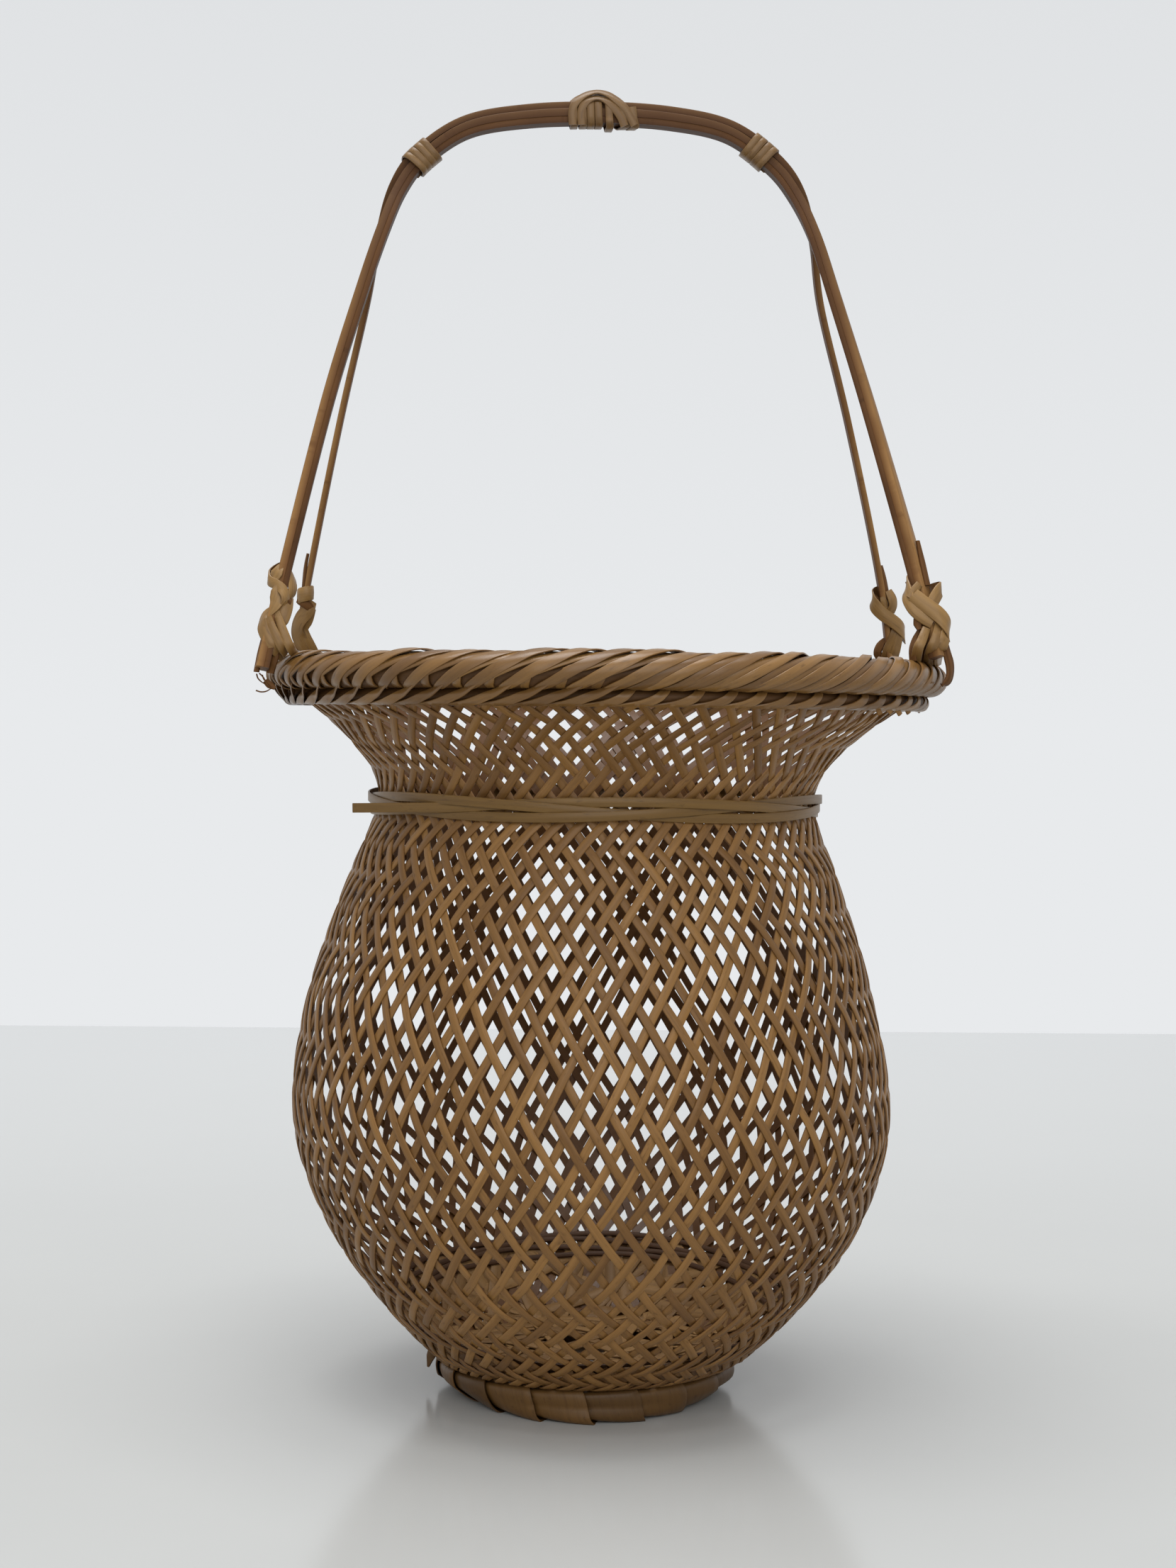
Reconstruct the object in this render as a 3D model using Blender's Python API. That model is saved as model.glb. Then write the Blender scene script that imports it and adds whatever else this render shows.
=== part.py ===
# Ikebana basket of split bamboo.
# An open diagonal plait swells from a wrapped foot ring to a belly, is tied in at the neck and flares to a
# twisted rim. Two bent hoops, tied together along the arch, stand on four lashed legs outside the rim.
# Metres, +Z up, the origin on the floor under the middle, the front towards -Y.

import math

import bmesh
import bpy
import numpy as np
from mathutils import Vector, geometry

# Overall
OVERALL_HEIGHT = 0.410
CLEARANCE = 0.0003

# Wall: radii and heights of the middle of the plait
# How far the foot of the wall stands out over the foot ring
FOOT_EDGE_OVERHANG = 0.0022
BELLY_RADIUS = 0.0933
BELLY_HEIGHT = 0.0954
# How full the wall is below the belly: 2 is a parabola
WALL_FULLNESS = 2.15
NECK_RADIUS = 0.0668
# How far the neck lies below the top of the rim
NECK_DROP = 0.0445
BELLY_HANDLE_SHARE = 0.33
NECK_LOWER_HANDLE_SHARE = 0.12
NECK_UPPER_HANDLE_SHARE = 0.20
FLARE_HANDLE_SHARE = 0.45
# How far the top of the wall lies in from the outside of the rim
WALL_TOP_INSET = 0.0112
FLARE_LEAN = math.radians(53)

# Splints: how many in each family, their section, and how far they swing in and out of the wall
SPLINTS = 32
SPLINT_WIDTH = 0.0023
SPLINT_THICKNESS = 0.0005
PLAIT_SWING = 0.0016
# Lean of a splint from upright at the foot, the belly, the neck and the rim
FOOT_LEAN = math.radians(46)
BELLY_LEAN = math.radians(31)
NECK_LEAN = math.radians(43)
RIM_LEAN = math.radians(44)
# Below this height the two families lie one over the other without crossing through
LAYERED_HEIGHT = 0.030

# Hoops that carry the ends of the splints
END_HOOP_THICKNESS = 0.0010
END_HOOP_DEPTH = 0.0021

# Foot ring
FOOT_HEIGHT = 0.0100
FOOT_OUTER_RADIUS = 0.0460
FOOT_RING_WIDTH = 0.0090
FOOT_FLAT_CUT = 0.0005
FOOT_WRAP_TURNS = 18
FOOT_WRAP_THICKNESS = 0.0008
FOOT_WRAP_GAP = 0.0006

# Base
BASE_THICKNESS = 0.0010
BASE_SPOKES = 12
BASE_STRIP_WIDTH = 0.0032
BASE_RING_SHARES = (0.26, 0.52, 0.77, 1.0)
BASE_HOOP_WIDTH = 0.0022
BASE_HOOP_DEPTH = 0.0016

# Rim
ROLL_OUTER_RADIUS = 0.1062
ROLL_WIDTH = 0.0140
ROLL_DEPTH = 0.0125
ROLL_TOP_HEIGHT = 0.2320
ROLL_RIBS = 72
ROLL_RIB_RISE = 0.0008
ROLL_ADVANCE_RIBS = 6
BRAID_INSET = 0.0052
BRAID_SECTION_RADIUS = 0.0024
BRAID_RIBS = 36
BRAID_RIB_RISE = 0.0005
BRAID_ADVANCE_RIBS = 2
# How far the lower braid lies in between the splints that bow out under it
BRAID_NESTING = 0.00080

# Neck tie
TIE_DROP = 0.0035
TIE_STRIP_WIDTH = 0.0029
TIE_STRIP_THICKNESS = 0.0006
TIE_SWAY = 0.0036
TIE_WEAVE = 0.0012
TIE_CYCLES = 2
TIE_END_LENGTH = 0.040
TIE_END_AZIMUTH = math.radians(-128)
TIE_JOIN_GAP = 0.0012
TIE_TUCK_GAP = 0.0150

# Handle hoops
HOOP_WIDTH = 0.0060
FRONT_HOOP_THICKNESS = 0.0025
LINING_THICKNESS = 0.0020
BACK_HOOP_WIDTH = 0.0042
BACK_HOOP_THICKNESS = 0.0020
LEG_AZIMUTH = math.radians(23.5)
# How far a leg reaches down beside the rim roll from its top
LEG_END_DROP = 0.0055
LEG_STAND_OFF = 0.0013
# The arch from a leg's end to the crown: shares of the half span, of the spread and of the rise
HOOP_SPAN_SHARES = (1.0, 0.925, 0.812, 0.735, 0.680, 0.628, 0.560, 0.420, 0.225, 0.0)
HOOP_SPREAD_SHARES = (1.0, 0.82, 0.53, 0.32, 0.17, 0.05, 0.0, 0.0, 0.0, 0.0)
HOOP_RISE_SHARES = (0.0, 0.183, 0.469, 0.669, 0.785, 0.862, 0.917, 0.972, 0.994, 1.0)
SPUR_THICKNESS = 0.0009
SPUR_WIDTH = 0.0030
SPUR_LENGTH = 0.030

# Lashings of the handle
LASHING_THICKNESS = 0.0006
CROWN_TURNS = 7
CROWN_STRIP_WIDTH = 0.0023
CROWN_PITCH = 0.0029
CROWN_LOOP_WIDTH = 0.0026
CROWN_LOOP_SPAN = 0.0180
CROWN_LOOP_RISE = 0.0011
SHOULDER_TURNS = 4
SHOULDER_STRIP_WIDTH = 0.0021
SHOULDER_PITCH = 0.0034
SHOULDER_SHARE = 0.560
SHOULDER_SPREAD_ROOM = 0.0010
ANKLE_TURNS = 3
ANKLE_STRIP_WIDTH = 0.0042
ANKLE_PITCH = 0.0058
ANKLE_LOW_RISE = 0.0095
ANKLE_TAIL_ASIDE = 0.0018
LASHING_CHAMFER = 0.0004

# Fineness of the curves
WALL_STEPS = 600
HOOP_STEPS = 2
PATH_STEPS = 12
SEARCH_STEPS = 600
RING_SEGMENTS = 36
TIE_SEGMENTS = 44
ROLL_SIDES = 6
LOOP_SECTIONS = 6

# Values that follow
FOOT_EDGE_RADIUS = FOOT_OUTER_RADIUS + FOOT_EDGE_OVERHANG
WALL_TOP_RADIUS = ROLL_OUTER_RADIUS - WALL_TOP_INSET
BRAID_OUTER_RADIUS = ROLL_OUTER_RADIUS - BRAID_INSET
NECK_HEIGHT = ROLL_TOP_HEIGHT - NECK_DROP
TIE_HEIGHT = NECK_HEIGHT - TIE_DROP
LEG_END_HEIGHT = ROLL_TOP_HEIGHT - LEG_END_DROP
BASE_LEVEL = FOOT_HEIGHT + CLEARANCE
FOOT_EDGE_HEIGHT = BASE_LEVEL + BASE_THICKNESS
ROLL_CENTRE_RADIUS = ROLL_OUTER_RADIUS - ROLL_WIDTH / 2
ROLL_CENTRE_HEIGHT = ROLL_TOP_HEIGHT - ROLL_DEPTH / 2
BRAID_CENTRE_RADIUS = BRAID_OUTER_RADIUS - BRAID_SECTION_RADIUS
HOOP_BOW_SHARE = 1 - math.cos(math.pi / SPLINTS)
TOP_HOOP_OFFSET = (END_HOOP_THICKNESS + CLEARANCE + WALL_TOP_RADIUS * HOOP_BOW_SHARE) / 2
LOW_HOOP_OFFSET = (END_HOOP_THICKNESS + CLEARANCE + FOOT_EDGE_RADIUS * HOOP_BOW_SHARE) / 2
LOW_HOOP_RADIUS = FOOT_EDGE_RADIUS - END_HOOP_THICKNESS
BASE_EDGE_RADIUS = LOW_HOOP_RADIUS - LOW_HOOP_OFFSET - END_HOOP_THICKNESS / 2 - CLEARANCE
HOOPS_OUTER_RADIUS = WALL_TOP_RADIUS + TOP_HOOP_OFFSET + END_HOOP_THICKNESS / 2
ROLL_CENTRE_SHARE = (ROLL_CENTRE_RADIUS - HOOPS_OUTER_RADIUS) / (ROLL_WIDTH / 2)
ROLL_UNDERSIDE = ROLL_CENTRE_HEIGHT - ROLL_DEPTH / 2 * math.sqrt(1 - ROLL_CENTRE_SHARE ** 2)
WALL_TOP_HEIGHT = ROLL_UNDERSIDE - CLEARANCE - END_HOOP_DEPTH
WALL_HALF_DEPTH = PLAIT_SWING + SPLINT_THICKNESS / 2
BRAID_STAND_OFF = BRAID_SECTION_RADIUS + WALL_HALF_DEPTH + CLEARANCE - BRAID_NESTING
BRAID_CENTRE_HEIGHT = (
    WALL_TOP_HEIGHT
    + (BRAID_CENTRE_RADIUS - WALL_TOP_RADIUS) / math.tan(FLARE_LEAN)
    - BRAID_STAND_OFF / math.sin(FLARE_LEAN)
)
STEP_ANGLE = 2 * math.pi / SPLINTS


def material(name, colour, roughness):
    """A plain surface with the part's colour."""
    made = bpy.data.materials.new(name)
    made.use_nodes = True
    shader = made.node_tree.nodes["Principled BSDF"]
    shader.inputs["Base Color"].default_value = (*colour, 1.0)
    shader.inputs["Roughness"].default_value = roughness
    shader.inputs["Metallic"].default_value = 0.0
    return made


def add_object(name, builder, surface, smooth=False):
    """Turns a finished bmesh into a named object."""
    bmesh.ops.recalc_face_normals(builder, faces=builder.faces)
    mesh = bpy.data.meshes.new(name)
    builder.to_mesh(mesh)
    builder.free()
    mesh.materials.append(surface)
    if smooth:
        mesh.shade_smooth()
        mesh.set_sharp_from_angle(angle=math.radians(40))
    made = bpy.data.objects.new(name, mesh)
    bpy.context.scene.collection.objects.link(made)
    return made


def bridge(builder, first, second):
    """Joins two rings of vertices with a band of faces."""
    count = len(first)
    for i in range(count):
        j = (i + 1) % count
        builder.faces.new((first[i], first[j], second[j], second[i]))


def loft(builder, sections, closed=False):
    """Skins a row of point rings into one body, capped at both ends unless the row closes."""
    rings = [[builder.verts.new(p) for p in section] for section in sections]
    for first, second in zip(rings, rings[1:]):
        bridge(builder, first, second)
    if closed:
        bridge(builder, rings[-1], rings[0])
    else:
        builder.faces.new(rings[0])
        builder.faces.new(rings[-1][::-1])


def on_circle(radius, angle, height):
    return Vector((radius * math.cos(angle), radius * math.sin(angle), height))


def outward(angle):
    return Vector((math.cos(angle), math.sin(angle), 0))


def blend(a, b, share):
    return a + (b - a) * share


def spline(points, steps):
    """Reads points at even steps off a smooth curve through the given points."""
    knots = [Vector(p) for p in points]
    slopes = [(b - a) / 2 for a, b in zip(knots, knots[2:])]
    slopes = [knots[1] - knots[0]] + slopes + [knots[-1] - knots[-2]]
    dense = []
    for a, b, s, t in zip(knots, knots[1:], slopes, slopes[1:]):
        dense.extend(geometry.interpolate_bezier(a, a + s / 3, b - t / 3, b, steps + 1)[:-1])
    dense.append(knots[-1])
    return dense


def path_reader(points):
    """A function that gives the place and direction at a distance along a row of points, and its length."""
    places = np.array([tuple(p) for p in points])
    steps = np.linalg.norm(np.diff(places, axis=0), axis=1)
    lengths = np.concatenate(([0.0], np.cumsum(steps)))
    directions = np.gradient(places, lengths, axis=0)

    def read(distance):
        place = [np.interp(distance, lengths, column) for column in places.T]
        direction = [np.interp(distance, lengths, column) for column in directions.T]
        return Vector(place), Vector(direction).normalized()

    return read, float(lengths[-1])


# Wall

def wall_outline():
    """Points (radius, height) up the middle of the plait, close together."""
    rise = BELLY_HEIGHT - FOOT_EDGE_HEIGHT
    steps = WALL_STEPS // 3
    points = []
    for i in range(steps):
        below = 1 - i / steps
        radius = BELLY_RADIUS - (BELLY_RADIUS - FOOT_EDGE_RADIUS) * below ** WALL_FULLNESS
        points.append(Vector((radius, 0, BELLY_HEIGHT - rise * below)))
    belly = Vector((BELLY_RADIUS, 0, BELLY_HEIGHT))
    neck = Vector((NECK_RADIUS, 0, NECK_HEIGHT))
    rim = Vector((WALL_TOP_RADIUS, 0, WALL_TOP_HEIGHT))
    up = neck.z - belly.z
    flare = rim.z - neck.z
    way_out = Vector((math.sin(FLARE_LEAN), 0, math.cos(FLARE_LEAN)))
    points += geometry.interpolate_bezier(
        belly,
        belly + Vector((0, 0, up * BELLY_HANDLE_SHARE)),
        neck - Vector((0, 0, up * NECK_LOWER_HANDLE_SHARE)),
        neck,
        steps,
    )[:-1]
    points += geometry.interpolate_bezier(
        neck,
        neck + Vector((0, 0, flare * NECK_UPPER_HANDLE_SHARE)),
        rim - way_out * (flare * FLARE_HANDLE_SHARE),
        rim,
        steps,
    )
    return [(p.x, p.z) for p in points]


def splint_lean(height):
    """Lean of the splints from upright at a height."""
    heights = (FOOT_EDGE_HEIGHT, BELLY_HEIGHT, NECK_HEIGHT, WALL_TOP_HEIGHT)
    leans = (FOOT_LEAN, BELLY_LEAN, NECK_LEAN, RIM_LEAN)
    return float(np.interp(height, heights, leans))


def plait_sections():
    """Sections (radius, height, turn, slope) of a splint: one in the middle of each pair of crossings."""
    outline = wall_outline()
    turn = 0.0
    wanted = STEP_ANGLE / 2
    found = []
    for (r0, z0), (r1, z1) in zip(outline, outline[1:]):
        climb = math.hypot(r1 - r0, z1 - z0)
        turn += climb * math.tan(splint_lean(z0)) / r0
        if turn >= wanted:
            found.append((r1, z1, turn, math.atan2(r1 - r0, z1 - z0)))
            wanted += STEP_ANGLE
    return found, turn


def splint_ring(radius, height, angle, slope, lean, side):
    """The four corners of a splint's section: inner left, inner right, outer right, outer left."""
    away = outward(angle)
    round_way = Vector((-away.y, away.x, 0))
    up_wall = away * math.sin(slope) + Vector((0, 0, math.cos(slope)))
    normal = away * math.cos(slope) - Vector((0, 0, math.sin(slope)))
    across = round_way * math.cos(lean) - up_wall * (math.sin(lean) * side)
    middle = Vector((0, 0, height)) + away * radius
    half = SPLINT_WIDTH / 2
    deep = SPLINT_THICKNESS / 2
    return [
        middle - across * half - normal * deep,
        middle + across * half - normal * deep,
        middle + across * half + normal * deep,
        middle - across * half + normal * deep,
    ]


def end_hoop(builder, radius, height, first_angle, open_side):
    """A hoop whose lower or upper face is left open where each splint grows out of it."""
    half_root = SPLINT_WIDTH / 2 / radius
    angles = []
    for i in range(SPLINTS):
        middle = first_angle + i * STEP_ANGLE
        angles += [middle - half_root, middle + half_root]
    inner = radius - END_HOOP_THICKNESS / 2
    outer = radius + END_HOOP_THICKNESS / 2
    low = height
    high = height + END_HOOP_DEPTH
    corners = ((inner, low), (outer, low), (outer, high), (inner, high))
    rings = [[builder.verts.new(on_circle(r, a, z)) for r, z in corners] for a in angles]
    open_edge = 0 if open_side == "low" else 2
    roots = []
    for i, ring in enumerate(rings):
        after = rings[(i + 1) % len(rings)]
        is_root = i % 2 == 0
        for k in range(4):
            if is_root and k == open_edge:
                continue
            j = (k + 1) % 4
            builder.faces.new((ring[k], ring[j], after[j], after[k]))
        if is_root and open_side == "low":
            roots.append([ring[0], after[0], after[1], ring[1]])
        elif is_root:
            roots.append([ring[3], after[3], after[2], ring[2]])
    return roots


def build_cage(name, side, surface):
    """One family of splints with the hoops that carry it; side 1 leans right, -1 leans left."""
    sections, full_turn = plait_sections()
    start = 0.0 if side == 1 else STEP_ANGLE / 2
    first_swing = sum(1 for s in sections if s[1] < LAYERED_HEIGHT)
    offsets = []
    for i in range(len(sections)):
        if i < first_swing:
            offsets.append(LOW_HOOP_OFFSET * side)
        else:
            offsets.append(PLAIT_SWING * side * (1 if (i - first_swing) % 2 == 0 else -1))
    builder = bmesh.new()
    top_side = 1 if offsets[-1] > 0 else -1
    low_roots = end_hoop(
        builder,
        LOW_HOOP_RADIUS + LOW_HOOP_OFFSET * side,
        BASE_LEVEL - END_HOOP_DEPTH / 2,
        start,
        "high",
    )
    high_roots = end_hoop(
        builder,
        WALL_TOP_RADIUS + TOP_HOOP_OFFSET * top_side,
        WALL_TOP_HEIGHT,
        start + full_turn * side,
        "low",
    )
    for i in range(SPLINTS):
        ring = low_roots[i]
        for (radius, height, turn, slope), offset in zip(sections, offsets):
            angle = start + i * STEP_ANGLE + turn * side
            normal_out = radius + offset * math.cos(slope)
            level = height - offset * math.sin(slope)
            points = splint_ring(normal_out, level, angle, slope, splint_lean(height), side)
            after = [builder.verts.new(p) for p in points]
            bridge(builder, ring, after)
            ring = after
        bridge(builder, ring, high_roots[i])
    return add_object(name, builder, surface)


# Rings

def turned_ring(name, outline, segments, surface):
    """A ring with the given closed outline of (radius, height) points."""
    builder = bmesh.new()
    angles = [2 * math.pi * i / segments for i in range(segments)]
    loft(builder, [[on_circle(r, a, z) for r, z in outline] for a in angles], closed=True)
    return add_object(name, builder, surface, smooth=True)


def ribbed_ring(name, radius, height, half_width, half_depth, ribs, rise, advance, sides, surface):
    """A rope-like ring: each rib runs round the section once while it advances along the ring."""
    builder = bmesh.new()
    stations = 2 * ribs
    reach = half_width / math.cos(math.pi / sides)
    rows = []
    for j in range(sides):
        turn = (j + 0.5) / sides
        tilt = 2 * math.pi * turn
        row = []
        for i in range(stations):
            angle = 2 * math.pi * (i + 2 * advance * turn) / stations
            drop = 0 if i % 2 == 0 else rise
            r = radius + (reach - drop) * math.cos(tilt)
            z = height + (half_depth - drop) * math.sin(tilt)
            row.append(builder.verts.new(on_circle(r, angle, z)))
        rows.append(row)
    for j in range(sides):
        shift = 2 * advance if j == sides - 1 else 0
        row = rows[j]
        after = rows[(j + 1) % sides]
        for i in range(stations):
            k = (i + 1) % stations
            a = after[(i + shift) % stations]
            b = after[(k + shift) % stations]
            builder.faces.new((row[i], row[k], b, a))
    return add_object(name, builder, surface, smooth=True)


def oval(half_width, half_depth, corners):
    """Corners of a faceted oval whose flats touch its true width and depth."""
    flat_share = 1 / math.cos(math.pi / corners)
    tilts = [2 * math.pi * (i + 0.5) / corners for i in range(corners)]
    return [(half_width * flat_share * math.cos(t), half_depth * flat_share * math.sin(t)) for t in tilts]


# Wound strips

def least_gap(sections, apart):
    """The least distance between points of a wound strip that lie at least so many sections apart."""
    points = []
    marks = []
    for i, (first, second) in enumerate(zip(sections, sections[1:])):
        for share in (0.0, 0.25, 0.5, 0.75):
            ring = [blend(a, b, share) for a, b in zip(first, second)]
            for a, b in zip(ring, ring[1:] + ring[:1]):
                points += [a, blend(a, b, 0.5)]
                marks += [i + share] * 2
    where = np.array([tuple(p) for p in points])
    marks = np.array(marks)
    least = math.inf
    for point, mark in zip(where, marks):
        far = where[marks - mark >= apart]
        if len(far):
            least = min(least, float(np.linalg.norm(far - point, axis=1).min()))
    return least


def print_gap(name, sections, apart):
    print(f"{name}: least gap to itself {1000 * least_gap(sections, apart):.2f} mm")


def strip_sections(stations, width, thickness):
    """Corners of a flat strip whose inner face runs through the stations (place, normal)."""
    places = [p for p, _ in stations]
    sections = []
    for i, (place, normal) in enumerate(stations):
        before = places[max(i - 1, 0)]
        after = places[min(i + 1, len(places) - 1)]
        forward = (after - before).normalized()
        lift = (normal - forward * normal.dot(forward)).normalized()
        across = forward.cross(lift) * (width / 2)
        up = lift * thickness
        sections.append([place - across, place + across, place + across + up, place - across + up])
    return sections


def wind(frame, half_thickness, half_width, strip_width, turns, pitch, start):
    """Stations of a strip wound round a bundle; frame(distance) gives its middle, normal and side."""
    slope_share = pitch / (4 * (half_thickness + half_width))
    room = CLEARANCE + strip_width / 2 * slope_share * math.sin(math.radians(22.5))
    a = half_thickness + room
    b = half_width + room
    c = LASHING_CHAMFER
    slant = math.radians(22.5)
    steep = math.radians(67.5)
    corners = [
        (a, -(b - c), -slant),
        (a, b - c, slant),
        (a - c, b, steep),
        (-(a - c), b, math.pi - steep),
        (-a, b - c, math.pi - slant),
        (-a, -(b - c), math.pi + slant),
        (-(a - c), -b, math.pi + steep),
        (a - c, -b, -steep),
    ]
    lengths = []
    for (x0, y0, _), (x1, y1, _) in zip(corners, corners[1:] + corners[:1]):
        lengths.append(math.hypot(x1 - x0, y1 - y0))
    round_length = sum(lengths)
    stations = []
    for turn in range(turns):
        gone = 0.0
        for (x, y, tilt), length in zip(corners, lengths):
            middle, normal, side = frame(start + pitch * (turn + gone / round_length))
            place = middle + normal * x + side * y
            stations.append((place, normal * math.cos(tilt) + side * math.sin(tilt)))
            gone += length
    return stations


def build_strip(name, stations, width, thickness, surface, apart=None):
    sections = strip_sections(stations, width, thickness)
    if apart:
        print_gap(name, sections, apart)
    builder = bmesh.new()
    loft(builder, sections)
    return add_object(name, builder, surface)


# Foot and base

def build_foot(wrap_surface, core_surface):
    """The core hoop and the strip wound round it, which stands on flats cut 0.5 mm into its turns."""
    corners = 8
    pitch_angle = 2 * math.pi / FOOT_WRAP_TURNS
    half_depth = (FOOT_HEIGHT + FOOT_FLAT_CUT) / 2
    middle_height = FOOT_HEIGHT - half_depth
    middle_radius = FOOT_OUTER_RADIUS - FOOT_RING_WIDTH / 2
    half_width = FOOT_RING_WIDTH / 2
    inner_radius = middle_radius - half_width
    half_angle = (pitch_angle - FOOT_WRAP_GAP / inner_radius) / 2
    outer = oval(half_width, half_depth, corners)
    inner = oval(half_width - FOOT_WRAP_THICKNESS, half_depth - FOOT_WRAP_THICKNESS, corners)
    sections = []
    for step in range(FOOT_WRAP_TURNS * corners - corners // 4):
        angle = pitch_angle * step / corners
        x, z = outer[step % corners]
        u, w = inner[step % corners]
        low = max(middle_height + z, 0)
        sections.append(
            [
                on_circle(middle_radius + u, angle - half_angle, middle_height + w),
                on_circle(middle_radius + u, angle + half_angle, middle_height + w),
                on_circle(middle_radius + x, angle + half_angle, low),
                on_circle(middle_radius + x, angle - half_angle, low),
            ]
        )
    print_gap("foot_wrap", sections, corners / 2)
    builder = bmesh.new()
    loft(builder, sections)
    add_object("foot_wrap", builder, wrap_surface)
    bow = FOOT_OUTER_RADIUS * (1 - math.cos(half_angle))
    core_half_width = half_width - FOOT_WRAP_THICKNESS - CLEARANCE
    core_half_depth = half_depth - FOOT_WRAP_THICKNESS - CLEARANCE
    core = []
    for x, z in oval(core_half_width, core_half_depth, corners):
        drawn_in = bow if x > 0 else 0
        core.append((middle_radius + x - drawn_in, middle_height + z))
    turned_ring("foot_core_hoop", core, RING_SEGMENTS, core_surface)


def build_base(strip_surface, hoop_surface):
    """The open bottom, whose strips cross as chords, and the hoop that lies round its edge."""
    edge = BASE_EDGE_RADIUS * math.cos(math.pi / (2 * SPLINTS))
    builder = bmesh.new()
    rings = []
    for k, share in enumerate(BASE_RING_SHARES):
        turn = 0.5 * (k % 2)
        rings.append(
            [
                builder.verts.new(on_circle(edge * share, 2 * math.pi * (i + turn) / BASE_SPOKES, BASE_LEVEL))
                for i in range(BASE_SPOKES)
            ]
        )
    cells = [builder.faces.new(rings[0])]
    for k, (inner, outer) in enumerate(zip(rings, rings[1:])):
        shift = 0 if k % 2 == 0 else 1
        for i in range(BASE_SPOKES):
            j = (i + 1) % BASE_SPOKES
            a = (i + shift) % BASE_SPOKES
            b = (j + shift) % BASE_SPOKES
            cells.append(builder.faces.new((inner[i], outer[a], inner[j])))
            cells.append(builder.faces.new((outer[a], outer[b], inner[j])))
    bmesh.ops.recalc_face_normals(builder, faces=builder.faces)
    bmesh.ops.inset_individual(builder, faces=cells, thickness=BASE_STRIP_WIDTH / 2, use_even_offset=True)
    bmesh.ops.delete(builder, geom=cells, context="FACES")
    grown = bmesh.ops.extrude_face_region(builder, geom=builder.faces[:])
    lifted = [e for e in grown["geom"] if isinstance(e, bmesh.types.BMVert)]
    bmesh.ops.translate(builder, verts=lifted, vec=Vector((0, 0, BASE_THICKNESS)))
    add_object("base_plait", builder, strip_surface)
    low = BASE_LEVEL + BASE_THICKNESS + CLEARANCE
    high = low + BASE_HOOP_DEPTH
    outer_radius = edge - CLEARANCE
    inner_radius = outer_radius - BASE_HOOP_WIDTH
    square = [(inner_radius, low), (outer_radius, low), (outer_radius, high), (inner_radius, high)]
    turned_ring("base_hoop", square, RING_SEGMENTS, hoop_surface)


# Neck tie

def build_tie(surface):
    """Three strips plaited loosely round the neck, one of them with a free end that stands off."""
    low = TIE_HEIGHT - TIE_SWAY - TIE_STRIP_WIDTH / 2
    high = TIE_HEIGHT + TIE_SWAY + TIE_STRIP_WIDTH / 2
    widest = max(r for r, z in wall_outline() if low <= z <= high)
    wall_out = widest + WALL_HALF_DEPTH + CLEARANCE
    middle = wall_out + TIE_WEAVE + CLEARANCE
    for name, phase in (("a", 1), ("b", 0), ("c", 2)):
        has_end = name == "b"
        first = TIE_END_AZIMUTH if has_end else math.pi / 2
        room = (TIE_TUCK_GAP if has_end else TIE_JOIN_GAP) / middle
        stations = []
        for i in range(TIE_SEGMENTS + 1):
            angle = first + (2 * math.pi - room) * i / TIE_SEGMENTS
            sway = TIE_CYCLES * (angle - TIE_END_AZIMUTH) + 2 * math.pi * phase / 3
            radius = middle - TIE_WEAVE * math.sin(2 * sway)
            height = TIE_HEIGHT + TIE_SWAY * math.sin(sway)
            stations.append((on_circle(radius, angle, height), outward(angle)))
        if has_end:
            place, normal = stations[0]
            straight = (place - stations[1][0]).normalized()
            stations.insert(0, (place + straight * TIE_END_LENGTH, normal))
        title = f"neck_tie_strand_{name}"
        build_strip(title, stations, TIE_STRIP_WIDTH, TIE_STRIP_THICKNESS, surface, 5)


# Handle

def crown_height():
    """Height of the front hoop's middle at the crown, under everything tied on top of it."""
    above = FRONT_HOOP_THICKNESS / 2 + CLEARANCE + BACK_HOOP_THICKNESS
    above += 2 * CLEARANCE + 2 * LASHING_THICKNESS + CROWN_LOOP_RISE + CLEARANCE
    return OVERALL_HEIGHT - above


def leg_end_radius():
    return ROLL_OUTER_RADIUS + LEG_STAND_OFF + CLEARANCE + LINING_THICKNESS + FRONT_HOOP_THICKNESS / 2


def handle_knots(toward):
    """Points from the left leg's end over the crown to the right leg's end; toward -1 is the front."""
    span = leg_end_radius() * math.cos(LEG_AZIMUTH)
    spread = leg_end_radius() * math.sin(LEG_AZIMUTH) * toward
    rise = crown_height() - LEG_END_HEIGHT
    half = [
        Vector((-span * a, spread * b, LEG_END_HEIGHT + rise * c))
        for a, b, c in zip(HOOP_SPAN_SHARES, HOOP_SPREAD_SHARES, HOOP_RISE_SHARES)
    ]
    other = [Vector((-p.x, p.y, p.z)) for p in half[-2::-1]]
    return half + other


def spread_share(place):
    """How far a place on a hoop has moved from the arch's plane to the leg's end."""
    return min(abs(place.y) / (leg_end_radius() * math.sin(LEG_AZIMUTH)), 1)


def handle_frame(toward, offsets):
    """A function that gives the middle, outward normal and side direction along a hoop, and its length."""
    read, total = path_reader(spline(handle_knots(toward), PATH_STEPS))
    at_leg, on_arch = offsets

    def frame(distance):
        place, forward = read(distance)
        lean = spread_share(place)
        turn = LEG_AZIMUTH * lean * toward
        if place.x < 0:
            turn = -turn
        side = Vector((-math.sin(turn), math.cos(turn), 0))
        side = (side - forward * side.dot(forward)).normalized()
        normal = forward.cross(side)
        return place + normal * blend(on_arch, at_leg, lean ** 2), normal, side

    return frame, total


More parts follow.
